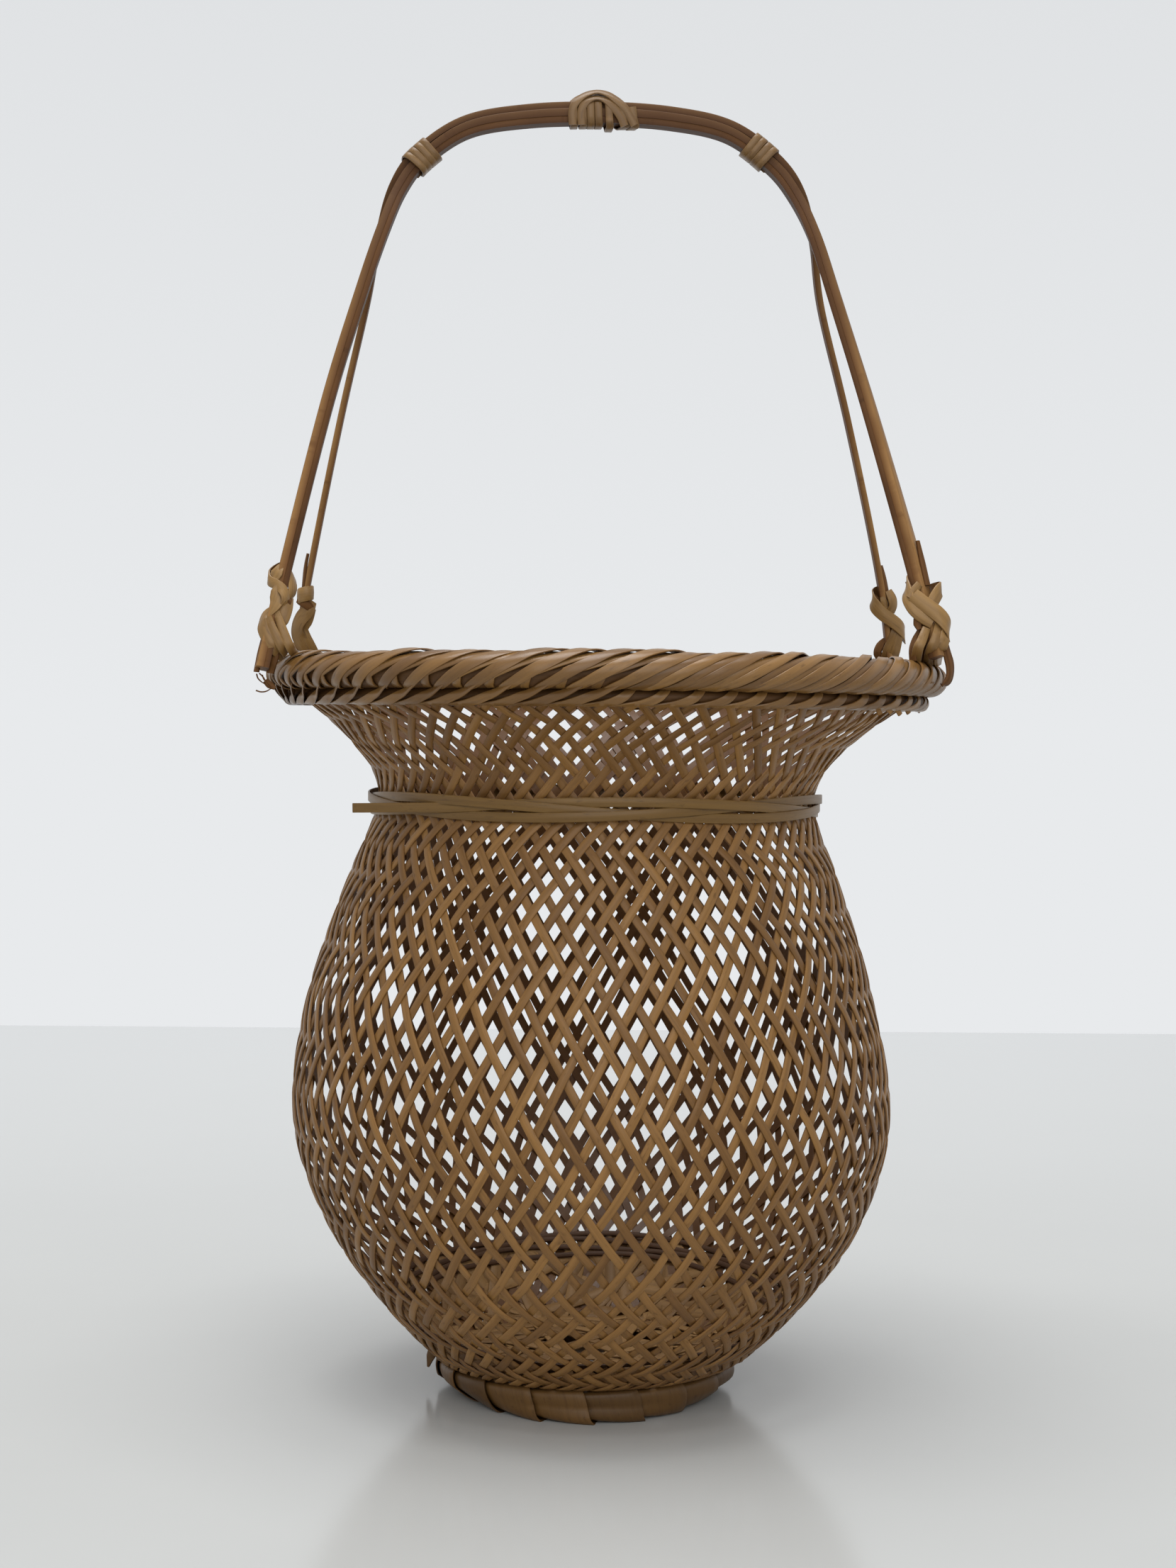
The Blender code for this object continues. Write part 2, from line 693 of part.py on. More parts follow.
def hoop_stations(total):
    """Distances along a hoop, closer together where it bends."""
    coarse = spline(handle_knots(1), HOOP_STEPS)
    _, length = path_reader(coarse)
    gone = 0.0
    found = [gone]
    for a, b in zip(coarse, coarse[1:]):
        gone += (b - a).length
        found.append(gone * total / length)
    return found


def build_hoop(name, frame, distances, offset, width, thickness, surface):
    """A bent strip along the handle's path, with a section at each distance."""
    sections = []
    for distance in distances:
        place, normal, side = frame(distance)
        middle = place + normal * offset
        across = side * (width / 2)
        up = normal * (thickness / 2)
        sections.append([middle - across - up, middle + across - up, middle + across + up, middle - across + up])
    builder = bmesh.new()
    loft(builder, sections)
    return add_object(name, builder, surface)


def shoulder_distance(frame, total):
    """Distance along the hoop to the left shoulder."""
    span = leg_end_radius() * math.cos(LEG_AZIMUTH) * SHOULDER_SHARE
    distances = [total / 2 * i / SEARCH_STEPS for i in range(SEARCH_STEPS)]
    return next(d for d in distances if frame(d)[0].x > -span)


def roll_corner(turns):
    """A corner of the roll's faceted section, counted in sides from its outer face."""
    tilt = 2 * math.pi * turns / ROLL_SIDES
    reach = ROLL_WIDTH / 2 / math.cos(math.pi / ROLL_SIDES)
    return Vector((reach * math.cos(tilt), 0, ROLL_DEPTH / 2 * math.sin(tilt)))


def roll_stations(angle, aside):
    """Stations of a strip that lies over the roll's outer side, shifted along the rim."""
    turned = angle + aside / ROLL_OUTER_RADIUS
    upper = roll_corner(0.5)
    lower = roll_corner(-0.5)
    top = blend(upper, roll_corner(1.5), 0.5)
    under = blend(lower, roll_corner(-1.5), 0.5)
    stations = []
    for corner in (top, upper, lower, under):
        normal = corner.normalized()
        place = corner + normal * (2 * CLEARANCE)
        away = outward(turned)
        where = on_circle(ROLL_CENTRE_RADIUS + place.x, turned, ROLL_CENTRE_HEIGHT + place.z)
        stations.append((where, away * normal.x + Vector((0, 0, normal.z))))
    return stations


def build_ankle(name, leg_frame, half_thickness, half_width, surface):
    """The strip that binds a leg: turns round the leg, then down beside it over the rim roll."""
    rise = ANKLE_LOW_RISE + LEG_END_DROP
    top = rise + ANKLE_TURNS * ANKLE_PITCH

    def down_frame(down):
        return leg_frame(top - down)

    stations = wind(down_frame, half_thickness, half_width, ANKLE_STRIP_WIDTH, ANKLE_TURNS, ANKLE_PITCH, 0)
    place, normal, side = leg_frame(rise)
    leave = place + normal * (half_thickness + ANKLE_TAIL_ASIDE) - side * (half_width + 2 * CLEARANCE)
    stations.append((leave, -side))
    end, _, _ = leg_frame(0)
    angle = math.atan2(end.y, end.x)
    round_way = Vector((-math.sin(angle), math.cos(angle), 0))
    way = -1 if side.dot(round_way) > 0 else 1
    aside = (half_width + ANKLE_STRIP_WIDTH / 2 + ANKLE_TAIL_ASIDE) * way
    stations += roll_stations(angle, aside)
    build_strip(name, stations, ANKLE_STRIP_WIDTH, LASHING_THICKNESS, surface, 5)


def build_handle(surfaces):
    """Both hoops, the lining, the ties along the arch, and each leg's spur and lashing."""
    lining = -(FRONT_HOOP_THICKNESS / 2 + CLEARANCE + LINING_THICKNESS / 2)
    above = FRONT_HOOP_THICKNESS / 2 + CLEARANCE + BACK_HOOP_THICKNESS / 2
    seat = lining - LINING_THICKNESS / 2 + BACK_HOOP_THICKNESS / 2
    front_frame, total = handle_frame(-1, (0, 0))
    back_frame, _ = handle_frame(1, (seat, above))
    distances = hoop_stations(total)
    hoop = surfaces["hoop"]
    dark = surfaces["lining"]
    build_hoop("handle_front_hoop", front_frame, distances, 0, HOOP_WIDTH, FRONT_HOOP_THICKNESS, hoop)
    build_hoop("handle_front_lining", front_frame, distances, lining, HOOP_WIDTH, LINING_THICKNESS, dark)
    build_hoop("handle_back_hoop", back_frame, distances, 0, BACK_HOOP_WIDTH, BACK_HOOP_THICKNESS, dark)
    build_arch_ties(front_frame, total, surfaces["lashing"])
    front_low = lining - LINING_THICKNESS / 2
    front_high = FRONT_HOOP_THICKNESS / 2
    back_half = BACK_HOOP_THICKNESS / 2
    legs = (
        ("front", front_frame, front_low, front_high, HOOP_WIDTH / 2),
        ("back", back_frame, -back_half, back_half, BACK_HOOP_WIDTH / 2),
    )
    for row, frame, low, high, half_width in legs:
        for hand, at_start in (("left", True), ("right", False)):
            leg = leg_reader(frame, total, at_start)
            build_leg_binding(f"{row}_{hand}", leg, low, high, half_width, surfaces)


def leg_reader(frame, total, at_start):
    """The hoop's frame by distance up from one leg's end."""

    def leg(distance):
        return frame(distance if at_start else total - distance)

    return leg


def shifted(frame, offset):
    """The same frame moved along its normal."""

    def moved(distance):
        place, normal, side = frame(distance)
        return place + normal * offset, normal, side

    return moved


def build_arch_ties(frame, total, surface):
    """The crown's knot and its loop, and the tie at each shoulder."""
    low = -(FRONT_HOOP_THICKNESS / 2 + CLEARANCE + LINING_THICKNESS)
    high = FRONT_HOOP_THICKNESS / 2 + CLEARANCE + BACK_HOOP_THICKNESS
    half_thickness = (high - low) / 2
    bundle = shifted(frame, (low + high) / 2)
    start = total / 2 - CROWN_TURNS * CROWN_PITCH / 2
    crown = wind(bundle, half_thickness, HOOP_WIDTH / 2, CROWN_STRIP_WIDTH, CROWN_TURNS, CROWN_PITCH, start)
    build_strip("crown_knot_wrap", crown, CROWN_STRIP_WIDTH, LASHING_THICKNESS, surface, 5)
    loop = []
    for i in range(LOOP_SECTIONS + 1):
        share = i / LOOP_SECTIONS
        place, normal, side = frame(total / 2 + CROWN_LOOP_SPAN * (share - 0.5))
        lift = high + 3 * CLEARANCE + LASHING_THICKNESS + CROWN_LOOP_RISE * math.sin(math.pi * share)
        loop.append((place + normal * lift, normal))
    build_strip("crown_knot_loop", loop, CROWN_LOOP_WIDTH, LASHING_THICKNESS, surface)
    left = shoulder_distance(frame, total)
    half_width = HOOP_WIDTH / 2 + SHOULDER_SPREAD_ROOM
    for name, middle in (("left", left), ("right", total - left)):
        start = middle - SHOULDER_TURNS * SHOULDER_PITCH / 2
        width = SHOULDER_STRIP_WIDTH
        turns = wind(bundle, half_thickness, half_width, width, SHOULDER_TURNS, SHOULDER_PITCH, start)
        build_strip(f"shoulder_lashing_{name}", turns, width, LASHING_THICKNESS, surface, 5)


def build_leg_binding(corner, leg, low, high, half_width, surfaces):
    """One leg's spur and its lashing; low and high bound the leg along its normal."""
    spur = high + CLEARANCE + SPUR_THICKNESS / 2
    top = spur + SPUR_THICKNESS / 2
    foot = ANKLE_LOW_RISE + LEG_END_DROP
    reach = [foot + SPUR_LENGTH * i / LOOP_SECTIONS for i in range(LOOP_SECTIONS + 1)]
    build_hoop(f"leg_spur_{corner}", leg, reach, spur, SPUR_WIDTH, SPUR_THICKNESS, surfaces["lining"])
    bundle = shifted(leg, (low + top) / 2)
    build_ankle(f"ankle_lashing_{corner}", bundle, (top - low) / 2, half_width, surfaces["lashing"])


def build():
    for old in list(bpy.data.objects):
        bpy.data.objects.remove(old, do_unlink=True)
    surfaces = {
        "splint": material("splint_bamboo", (0.235, 0.140, 0.066), 0.45),
        "splint_left": material("splint_bamboo_left", (0.200, 0.118, 0.055), 0.45),
        "base": material("base_bamboo", (0.290, 0.185, 0.095), 0.50),
        "hoop": material("hoop_bamboo", (0.250, 0.160, 0.090), 0.40),
        "lining": material("lining_bamboo", (0.130, 0.070, 0.035), 0.45),
        "lashing": material("lashing_bamboo", (0.260, 0.165, 0.070), 0.40),
        "wrap": material("wrap_bamboo", (0.180, 0.110, 0.045), 0.40),
    }
    build_cage("weave_right_splints", 1, surfaces["splint"])
    build_cage("weave_left_splints", -1, surfaces["splint_left"])
    build_foot(surfaces["wrap"], surfaces["lining"])
    build_base(surfaces["base"], surfaces["lining"])
    build_tie(surfaces["lashing"])
    ribbed_ring(
        "rim_roll",
        ROLL_CENTRE_RADIUS,
        ROLL_CENTRE_HEIGHT,
        ROLL_WIDTH / 2,
        ROLL_DEPTH / 2,
        ROLL_RIBS,
        ROLL_RIB_RISE,
        ROLL_ADVANCE_RIBS,
        ROLL_SIDES,
        surfaces["lashing"],
    )
    ribbed_ring(
        "rim_lower_braid",
        BRAID_CENTRE_RADIUS,
        BRAID_CENTRE_HEIGHT,
        BRAID_SECTION_RADIUS,
        BRAID_SECTION_RADIUS,
        BRAID_RIBS,
        BRAID_RIB_RISE,
        BRAID_ADVANCE_RIBS,
        ROLL_SIDES,
        surfaces["splint"],
    )
    build_handle(surfaces)


build()
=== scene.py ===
import math
import random

import bpy
import numpy as np
from mathutils import Matrix, Vector


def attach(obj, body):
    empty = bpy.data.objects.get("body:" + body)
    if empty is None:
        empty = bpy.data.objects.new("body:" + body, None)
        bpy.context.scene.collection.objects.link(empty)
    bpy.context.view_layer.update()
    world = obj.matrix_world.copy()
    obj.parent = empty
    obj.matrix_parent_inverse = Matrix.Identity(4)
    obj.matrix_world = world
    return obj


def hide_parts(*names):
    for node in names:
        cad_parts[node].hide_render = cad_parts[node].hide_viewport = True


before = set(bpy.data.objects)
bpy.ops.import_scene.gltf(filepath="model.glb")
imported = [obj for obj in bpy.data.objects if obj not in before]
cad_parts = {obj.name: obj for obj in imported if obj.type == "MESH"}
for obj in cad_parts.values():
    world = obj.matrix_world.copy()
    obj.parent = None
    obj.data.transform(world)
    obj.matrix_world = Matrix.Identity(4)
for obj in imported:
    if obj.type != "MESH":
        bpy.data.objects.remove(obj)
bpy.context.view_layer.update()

dice = random.Random(31)
mm = 0.001

# the camera stands a little to the left and is rolled a little; the small loose ends are placed by it too
view = {
    "place": (-2.3, -805.0, 212.0), "down": 1.44, "roll": 0.65, "orbit": -1.8,
    "lens": 58.2, "sensor": 36, "frame": (1659, 2212),
}


def cameraMatrix():
    place = Matrix.Translation([c * mm for c in view["place"]])
    tilt = Matrix.Rotation(math.radians(90 - view["down"]), 4, "X")
    roll = Matrix.Rotation(math.radians(view["roll"]), 4, "Z")
    orbit = Matrix.Rotation(math.radians(view["orbit"]), 4, "Z")
    return orbit @ place @ tilt @ roll


# the place at the depth y that is seen at a column and a row of the picture
def seen(column, row, y):
    wide, high = view["frame"]
    reach = view["lens"] / view["sensor"] * high
    eye = cameraMatrix()
    start = eye.translation
    way = eye.to_3x3() @ Vector(((column - wide / 2) / reach, -(row - high / 2) / reach, -1))
    return start + way * ((y - start.y) / way.y)


def deselectAll():
    bpy.ops.object.select_all(action="DESELECT")


def smoothCurve(knots, count):
    knots = np.array(knots, float)
    slopes = np.gradient(knots, axis=0)
    u = np.linspace(0, 1, 24, endpoint=False)[:, None]
    runs = []
    for a, b, s, t in zip(knots, knots[1:], slopes, slopes[1:]):
        hermite = (2 * u**3 - 3 * u**2 + 1) * a + (u**3 - 2 * u**2 + u) * s
        runs.append(hermite + (3 * u**2 - 2 * u**3) * b + (u**3 - u**2) * t)
    return resampled(np.concatenate(runs + [knots[-1:]]), count)


def resampled(points, count):
    gone = np.r_[0, np.cumsum(np.linalg.norm(np.diff(points, axis=0), axis=1))]
    where = np.linspace(0, gone[-1], count)
    return columns(*(np.interp(where, gone, column) for column in points.T))


def columns(*rows):
    return np.stack(rows, axis=1)


def unit(vectors):
    return vectors / np.linalg.norm(vectors, axis=1)[:, None]


def pathLength(places):
    return float(np.linalg.norm(np.diff(places, axis=0), axis=1).sum())


# a path is its places, the directions across the strip and the normals of the strip's outer face
def makePath(places, normals):
    forward = unit(np.gradient(places, axis=0))
    normals = unit(normals - forward * (normals * forward).sum(1)[:, None])
    return places, np.cross(normals, forward), normals


def markPoints(mesh, label, values):
    mesh.attributes.new(label, "FLOAT", "POINT").data.foreach_set("value", values)


def addObject(name, data):
    made = bpy.data.objects.new(name, data)
    bpy.context.scene.collection.objects.link(made)
    return made


# a flat strip one metre long, skin side up; its other sizes are in mm, and crown raises its middle
def flatStrip(width, thickness, steps, rounding=0.14, acrossSteps=1, crown=0.0):
    width = width * mm
    deselectAll()
    bpy.ops.mesh.primitive_grid_add(
        x_subdivisions=steps, y_subdivisions=acrossSteps, size=1, location=(0.5, 0, 0)
    )
    strip = bpy.context.object
    strip.name = "strip"
    strip.scale = (1, width, 1)
    bpy.ops.object.transform_apply(location=True, rotation=True, scale=True)
    bpy.ops.object.modifier_add(type="SOLIDIFY")
    strip.modifiers[-1].thickness = thickness * mm
    strip.modifiers[-1].offset = 0
    bpy.ops.object.modifier_apply(modifier=strip.modifiers[-1].name)
    mesh = strip.data
    bpy.ops.object.mode_set(mode="EDIT")
    bpy.ops.mesh.select_mode(type="EDGE")
    bpy.ops.mesh.select_all(action="DESELECT")
    bpy.ops.object.mode_set(mode="OBJECT")
    # the two long edges of the skin side are rounded
    for edge in mesh.edges:
        a, b = (mesh.vertices[v].co for v in edge.vertices)
        onSide = min(abs(a.y), abs(b.y)) > 0.49 * width and a.y * b.y > 0
        edge.select = onSide and abs(a.x - b.x) > 1e-6 and min(a.z, b.z) > 0
    bpy.ops.object.mode_set(mode="EDIT")
    bpy.ops.mesh.bevel(offset=rounding * mm, segments=1)
    bpy.ops.object.mode_set(mode="OBJECT")
    for vertex in mesh.vertices:
        if vertex.co.z > 0:
            vertex.co.z += crown * mm * (1 - (2 * vertex.co.y / width) ** 2)
    markPoints(mesh, "skin", [1.0 if v.co.z > 0 else 0.0 for v in mesh.vertices])
    return strip


# a copy of a flat strip with its own mesh, laid along a path; pointed gives the width at the two ends,
# reach how far the points go, and widths and depths are shares along it
def layStrip(strip, path, tone, pointed=(1.0, 1.0), reach=0.2, widths=(1, 1), depths=(1, 1)):
    mesh = strip.data.copy()
    places, across, normals = path
    co = np.empty(len(mesh.vertices) * 3)
    mesh.vertices.foreach_get("co", co)
    co = co.reshape(-1, 3)
    where = co[:, 0] * (len(places) - 1)
    low = np.clip(where.astype(int), 0, len(places) - 2)
    share = (where - low)[:, None]
    pick = lambda rows: rows[low] * (1 - share) + rows[low + 1] * share
    along = lambda shares: np.interp(co[:, 0], np.linspace(0, 1, len(shares)), shares)[:, None]
    first = pointed[0] + (1 - pointed[0]) * np.sqrt(np.clip(co[:, 0:1] / reach, 0, 1))
    last = pointed[1] + (1 - pointed[1]) * np.sqrt(np.clip((1 - co[:, 0:1]) / reach, 0, 1))
    y = co[:, 1:2] * first * last * along(widths)
    moved = pick(places) + pick(across) * y + pick(normals) * co[:, 2:3] * along(depths)
    mesh.vertices.foreach_set("co", moved.ravel())
    # the pattern's coordinates are in metres, and each strip starts at its own place in it
    layer = mesh.uv_layers.active.data
    uv = np.empty(len(layer) * 2)
    layer.foreach_get("uv", uv)
    uv = uv.reshape(-1, 2)
    uv[:, 0] = uv[:, 0] * pathLength(places) + tone * 3.7
    uv[:, 1] = uv[:, 1] * np.ptp(co[:, 1]) + tone * 0.9
    layer.foreach_set("uv", uv.ravel())
    markPoints(mesh, "tone", [tone] * len(mesh.vertices))
    mesh.update()
    return addObject(strip.name, mesh)


def discard(each):
    bpy.data.objects.remove(each, do_unlink=True)


# joins parts into one piece, gives it its material and body, and hides the model's parts for its nodes
def finishPiece(parts, name, material, nodes):
    deselectAll()
    for part in parts:
        part.select_set(True)
    bpy.context.view_layer.objects.active = parts[0]
    if len(parts) > 1:
        bpy.ops.object.join()
    piece = bpy.context.object
    piece.name = name
    piece.data.name = name
    bpy.ops.object.shade_smooth_by_angle(angle=math.radians(50))
    piece.data.materials.clear()
    piece.data.materials.append(material)
    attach(piece, "root")
    if nodes:
        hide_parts(*nodes)
    return piece


# materials: the inputs of a node are plain values or the sockets of other nodes
def feed(tree, node, inputs):
    for key, value in inputs.items():
        if isinstance(value, bpy.types.NodeSocket):
            tree.links.new(value, node.inputs[key])
        else:
            node.inputs[key].default_value = value
    return node


def addNode(tree, kind, inputs=None, **values):
    node = tree.nodes.new("ShaderNode" + kind)
    spot = len(tree.nodes) - 1
    node.location = (240 * (spot % 6), -320 * (spot // 6))
    for key, value in values.items():
        setattr(node, key, value)
    return feed(tree, node, inputs or {})


def mixed(tree, share, a, b):
    inputs = {"Factor": share, "A": a, "B": b}
    return addNode(tree, "Mix", inputs, data_type="RGBA").outputs["Result"]


def ranged(tree, value, low=0.0, high=1.0, first=0.0, last=1.0):
    inputs = {"Value": value, "From Min": low, "From Max": high, "To Min": first, "To Max": last}
    return addNode(tree, "MapRange", inputs).outputs["Result"]


def reckoned(tree, operation, *inputs):
    return addNode(tree, "Math", dict(enumerate(inputs)), operation=operation).outputs[0]


def coordinate(tree, kind, letter):
    place = addNode(tree, "TexCoord")
    return addNode(tree, "SeparateXYZ", {0: place.outputs[kind]}).outputs[letter]


def newMaterial(name):
    made = bpy.data.materials.new(name)
    made.use_nodes = True
    return made, made.node_tree, made.node_tree.nodes["Principled BSDF"]


def srgb(r, g, b):
    return (*(((c / 255 + 0.055) / 1.055) ** 2.4 if c > 10 else c / 255 / 12.92 for c in (r, g, b)), 1)


def makeFibreGroup():
    group = bpy.data.node_groups.new("bambooFibre", "ShaderNodeTree")
    for label, kind, value in (
        ("Skin Colour", "Color", (0.25, 0.15, 0.07, 1)), ("Dark Colour", "Color", (0.10, 0.05, 0.02, 1)),
        ("Pith Colour", "Color", (0.20, 0.12, 0.06, 1)), ("Streaks", "Float", 0.5),
        ("Tone Spread", "Float", 0.5), ("Roughness", "Float", 0.4),
    ):
        socket = group.interface.new_socket(name=label, in_out="INPUT", socket_type="NodeSocket" + kind)
        socket.default_value = value
    for label, kind in (("Colour", "Color"), ("Roughness", "Float"), ("Height", "Float")):
        group.interface.new_socket(name=label, in_out="OUTPUT", socket_type="NodeSocket" + kind)
    given = group.nodes.new("NodeGroupInput").outputs
    dark = given["Dark Colour"]
    uv = addNode(group, "UVMap").outputs["UV"]
    tone = addNode(group, "Attribute", attribute_name="tone").outputs["Fac"]
    onSkin = addNode(group, "Attribute", attribute_name="skin").outputs["Fac"]

    # noise by how fine it is along and across the strip
    def noise(along, across, detail):
        drawn = addNode(group, "Mapping", {"Vector": uv, "Scale": (along, across, 1)})
        inputs = {"Vector": drawn.outputs[0], "Scale": 1, "Detail": detail}
        return addNode(group, "TexNoise", inputs).outputs["Fac"]

    fine = noise(60, 5200, 3)
    broad = noise(35, 700, 4)
    spots = noise(260, 900, 3)
    # the strip's own shade, then its streaks, then small darker spots
    colour = mixed(group, onSkin, given["Pith Colour"], given["Skin Colour"])
    share = reckoned(group, "MULTIPLY", tone, given["Tone Spread"])
    colour = mixed(group, share, colour, dark)
    streak = ranged(group, broad, 0.42, 0.72)
    share = reckoned(group, "MULTIPLY", streak, given["Streaks"])
    colour = mixed(group, share, colour, dark)
    share = ranged(group, spots, 0.60, 0.75, last=0.55)
    colour = mixed(group, share, colour, dark)
    share = ranged(group, fine, first=0.80, last=1.18)
    shaded = addNode(group, "VectorMath", {0: colour, "Scale": share}, operation="SCALE")
    rough = reckoned(group, "MULTIPLY_ADD", broad, 0.22, given["Roughness"])
    height = reckoned(group, "MULTIPLY_ADD", fine, 0.6, broad)
    result = group.nodes.new("NodeGroupOutput")
    feed(group, result, {"Colour": shaded.outputs["Vector"], "Roughness": rough, "Height": height})
    return group


fibreGroup = makeFibreGroup()


# the colours of skin, dark streaks and pith, then streaks, spread of tone, roughness and gloss
def makeBamboo(name, skin, dark, pith, streaks, toneSpread, roughness, gloss):
    made, tree, shader = newMaterial(name)
    fibre = addNode(tree, "Group", {
        "Skin Colour": srgb(*skin), "Dark Colour": srgb(*dark), "Pith Colour": srgb(*pith),
        "Streaks": streaks, "Tone Spread": toneSpread, "Roughness": roughness,
    }, node_tree=fibreGroup).outputs
    inputs = {"Strength": 0.25, "Distance": 0.0001, "Height": fibre["Height"]}
    relief = addNode(tree, "Bump", inputs)
    feed(tree, shader, {
        "Base Color": fibre["Colour"], "Roughness": fibre["Roughness"], "Normal": relief.outputs["Normal"],
        "Specular IOR Level": gloss, "Coat Weight": 0.06 if gloss > 0.2 else 0.0, "Coat Roughness": 0.25,
    })
    return made


wallBamboo = makeBamboo("wallBamboo", (150, 110, 60), (80, 50, 22), (92, 60, 28), 0.4, 0.55, 0.34, 0.26)
rimBamboo = makeBamboo("rimBamboo", (136, 100, 53), (80, 52, 24), (98, 67, 34), 0.4, 0.6, 0.22, 0.38)
shadeBamboo = makeBamboo("shadeBamboo", (96, 66, 36), (60, 38, 20), (80, 54, 30), 0.4, 0.35, 0.4, 0.2)
baseBamboo = makeBamboo("baseBamboo", (138, 105, 64), (76, 52, 30), (104, 74, 42), 0.3, 0.55, 0.42, 0.2)
tieBamboo = makeBamboo("tieBamboo", (124, 93, 45), (82, 57, 25), (100, 72, 36), 0.35, 0.4, 0.28, 0.3)
knotBamboo = makeBamboo("knotBamboo", (148, 114, 66), (88, 60, 32), (100, 70, 40), 0.4, 0.5, 0.26, 0.32)
handleBamboo = makeBamboo("handleBamboo", (166, 126, 78), (98, 64, 36), (110, 74, 42), 0.55, 0.35, 0.38, 0.1)
liningBamboo = makeBamboo("liningBamboo", (114, 78, 44), (58, 36, 20), (84, 54, 30), 0.6, 0.35, 0.38, 0.1)
# the foot's wrap is darker than the wall's bamboo: partly its own colour and partly painted shade for the
# shaded foot
wrapBamboo = makeBamboo("wrapBamboo", (108, 78, 42), (54, 36, 18), (76, 52, 28), 0.25, 0.5, 0.34, 0.24)
darkBamboo = makeBamboo("darkBamboo", (80, 54, 34), (44, 28, 16), (64, 42, 26), 0.5, 0.35, 0.45, 0.2)


# the handle is darker towards its crown, from one height to another in metres: partly its own stain and
# partly painted shade on the crown
def stainAndShadeTop(material, low, high, amount):
    tree = material.node_tree
    shader = tree.nodes["Principled BSDF"]
    colour = shader.inputs["Base Color"].links[0].from_socket
    share = ranged(tree, coordinate(tree, "Object", "Z"), low, high, last=amount)
    feed(tree, shader, {"Base Color": mixed(tree, share, colour, srgb(70, 46, 30))})


# painted shade, in part: the handle, its lining and the crown's knots darken towards the top
stainAndShadeTop(handleBamboo, 0.29, 0.38, 0.80)
stainAndShadeTop(liningBamboo, 0.29, 0.38, 0.25)
stainAndShadeTop(knotBamboo, 0.33, 0.40, 0.48)
print("materials made")


# the basket leans a little to one side as it rises: sideways shift by height, in mm
def sideShift(z):
    heights = (0, 10, 13, 31, 49, 67, 85, 103, 121, 139, 160, 178, 193, 202, 211, 219)
    shifts = (-1.4, -1.0, 0.2, 0.8, 0.9, 0.5, 0.0, -0.4, -0.9, -0.6, -0.3, 0.0, 0.6, 1.1, 2.0, 3.1)
    return np.interp(z / mm, heights, shifts) * mm


# wall: the middle of the plait as (height, radius) in mm
wall = {
    "profile": (
        (10.2, 44.0), (11.6, 48.6), (16.5, 54.5), (25.6, 63.6), (36, 72.2), (46.8, 80.0), (58, 86.0),
        (68, 90.0), (80, 93.2), (92, 94.1), (102, 93.4), (112, 91.8), (125.6, 88.9), (139, 85.1),
        (152.6, 80.5), (166, 75.6), (177, 71.0), (186, 68.6), (192, 69.2), (197.6, 72.0), (202.1, 75.7),
        (206.6, 80.1), (211.1, 85.3), (219, 95.8),
    ),
    # heights at which one family passes under the other, at the front: two crossings between two heights
    "bands": (
        (10.2, -2), (16, 0), (22, 1), (29, 2), (36.5, 3), (45.8, 4), (57.6, 5), (70, 6), (82.6, 7),
        (97.7, 8), (113.6, 9), (128.5, 10), (142, 11), (153.9, 12), (164.3, 13), (173.8, 14),
        (181.6, 15), (189, 16), (196.6, 17), (204.9, 18), (211.9, 19), (219, 20),
    ),
    "openHeights": (27, 38, 48, 58, 66, 75),
    "openShares": (0.22, 0.16, 0.10, 0.08, 0.03, 0.0),
    "swingHeights": (10, 40, 70, 190, 205),
    "swings": (0.42, 0.46, 0.36, 0.34, 0.30),
    "splints": 68, "width": 2.55, "thickness": 0.5, "steps": 168,
}
rowTurn = math.pi / wall["splints"]


def wallMeridian():
    points = smoothCurve([(r, z) for z, r in wall["profile"]], 1400) * mm
    r, z = points.T
    way = unit(np.gradient(points, axis=0))
    ds = np.r_[0, np.linalg.norm(np.diff(points, axis=0), axis=1)]
    heights, numbers = np.array(wall["bands"]).T
    turn = 2 * rowTurn * np.interp(z / mm, heights, numbers)
    reach = 22
    for i in range(2):
        ends = np.r_[2 * turn[0] - turn[reach:0:-1], turn, 2 * turn[-1] - turn[-2:-reach - 2:-1]]
        turn = np.convolve(ends, np.ones(2 * reach + 1) / (2 * reach + 1), "valid")
    along = np.cumsum(np.hypot(ds, r * np.diff(turn, prepend=turn[0])))
    return {"r": r, "z": z, "upR": way[:, 0], "upZ": way[:, 1], "turn": turn, "along": along}


meridian = wallMeridian()


def splintPath(side, start, wobble, depth):
    m = meridian
    where = np.linspace(0, m["along"][-1], wall["steps"] * 2 + 1)
    pick = {key: np.interp(where, m["along"], m[key]) for key in m}
    high = pick["z"] / mm
    over = np.clip(1.55 * np.sin(math.pi * pick["turn"] / rowTurn / 2), -1, 1)
    lift = (np.interp(high, wall["swingHeights"], wall["swings"]) * over * side + depth) * mm
    share = where / where[-1]
    stray = sum(a * np.sin(2 * math.pi * f * share + p) for a, f, p in wobble) * mm
    fade = np.clip(share / 0.15, 0.15, 1) * np.clip((1 - share) / 0.06, 0.2, 1)
    common = 0.5 * mm * np.sin(3 * start + 9 * share) * fade
    angle = start + side * pick["turn"] + (stray * fade + common) / pick["r"]
    # the lower front is pulled open
    angle = angle + np.interp(high, wall["openHeights"], wall["openShares"]) * np.cos(angle)
    c, s = np.cos(angle), np.sin(angle)
    r = pick["r"] + lift * pick["upZ"]
    z = pick["z"] - lift * pick["upR"]
    places = columns(r * c + sideShift(z), r * s, z)
    normals = columns(pick["upZ"] * c, pick["upZ"] * s, -pick["upR"])
    return makePath(places, normals)


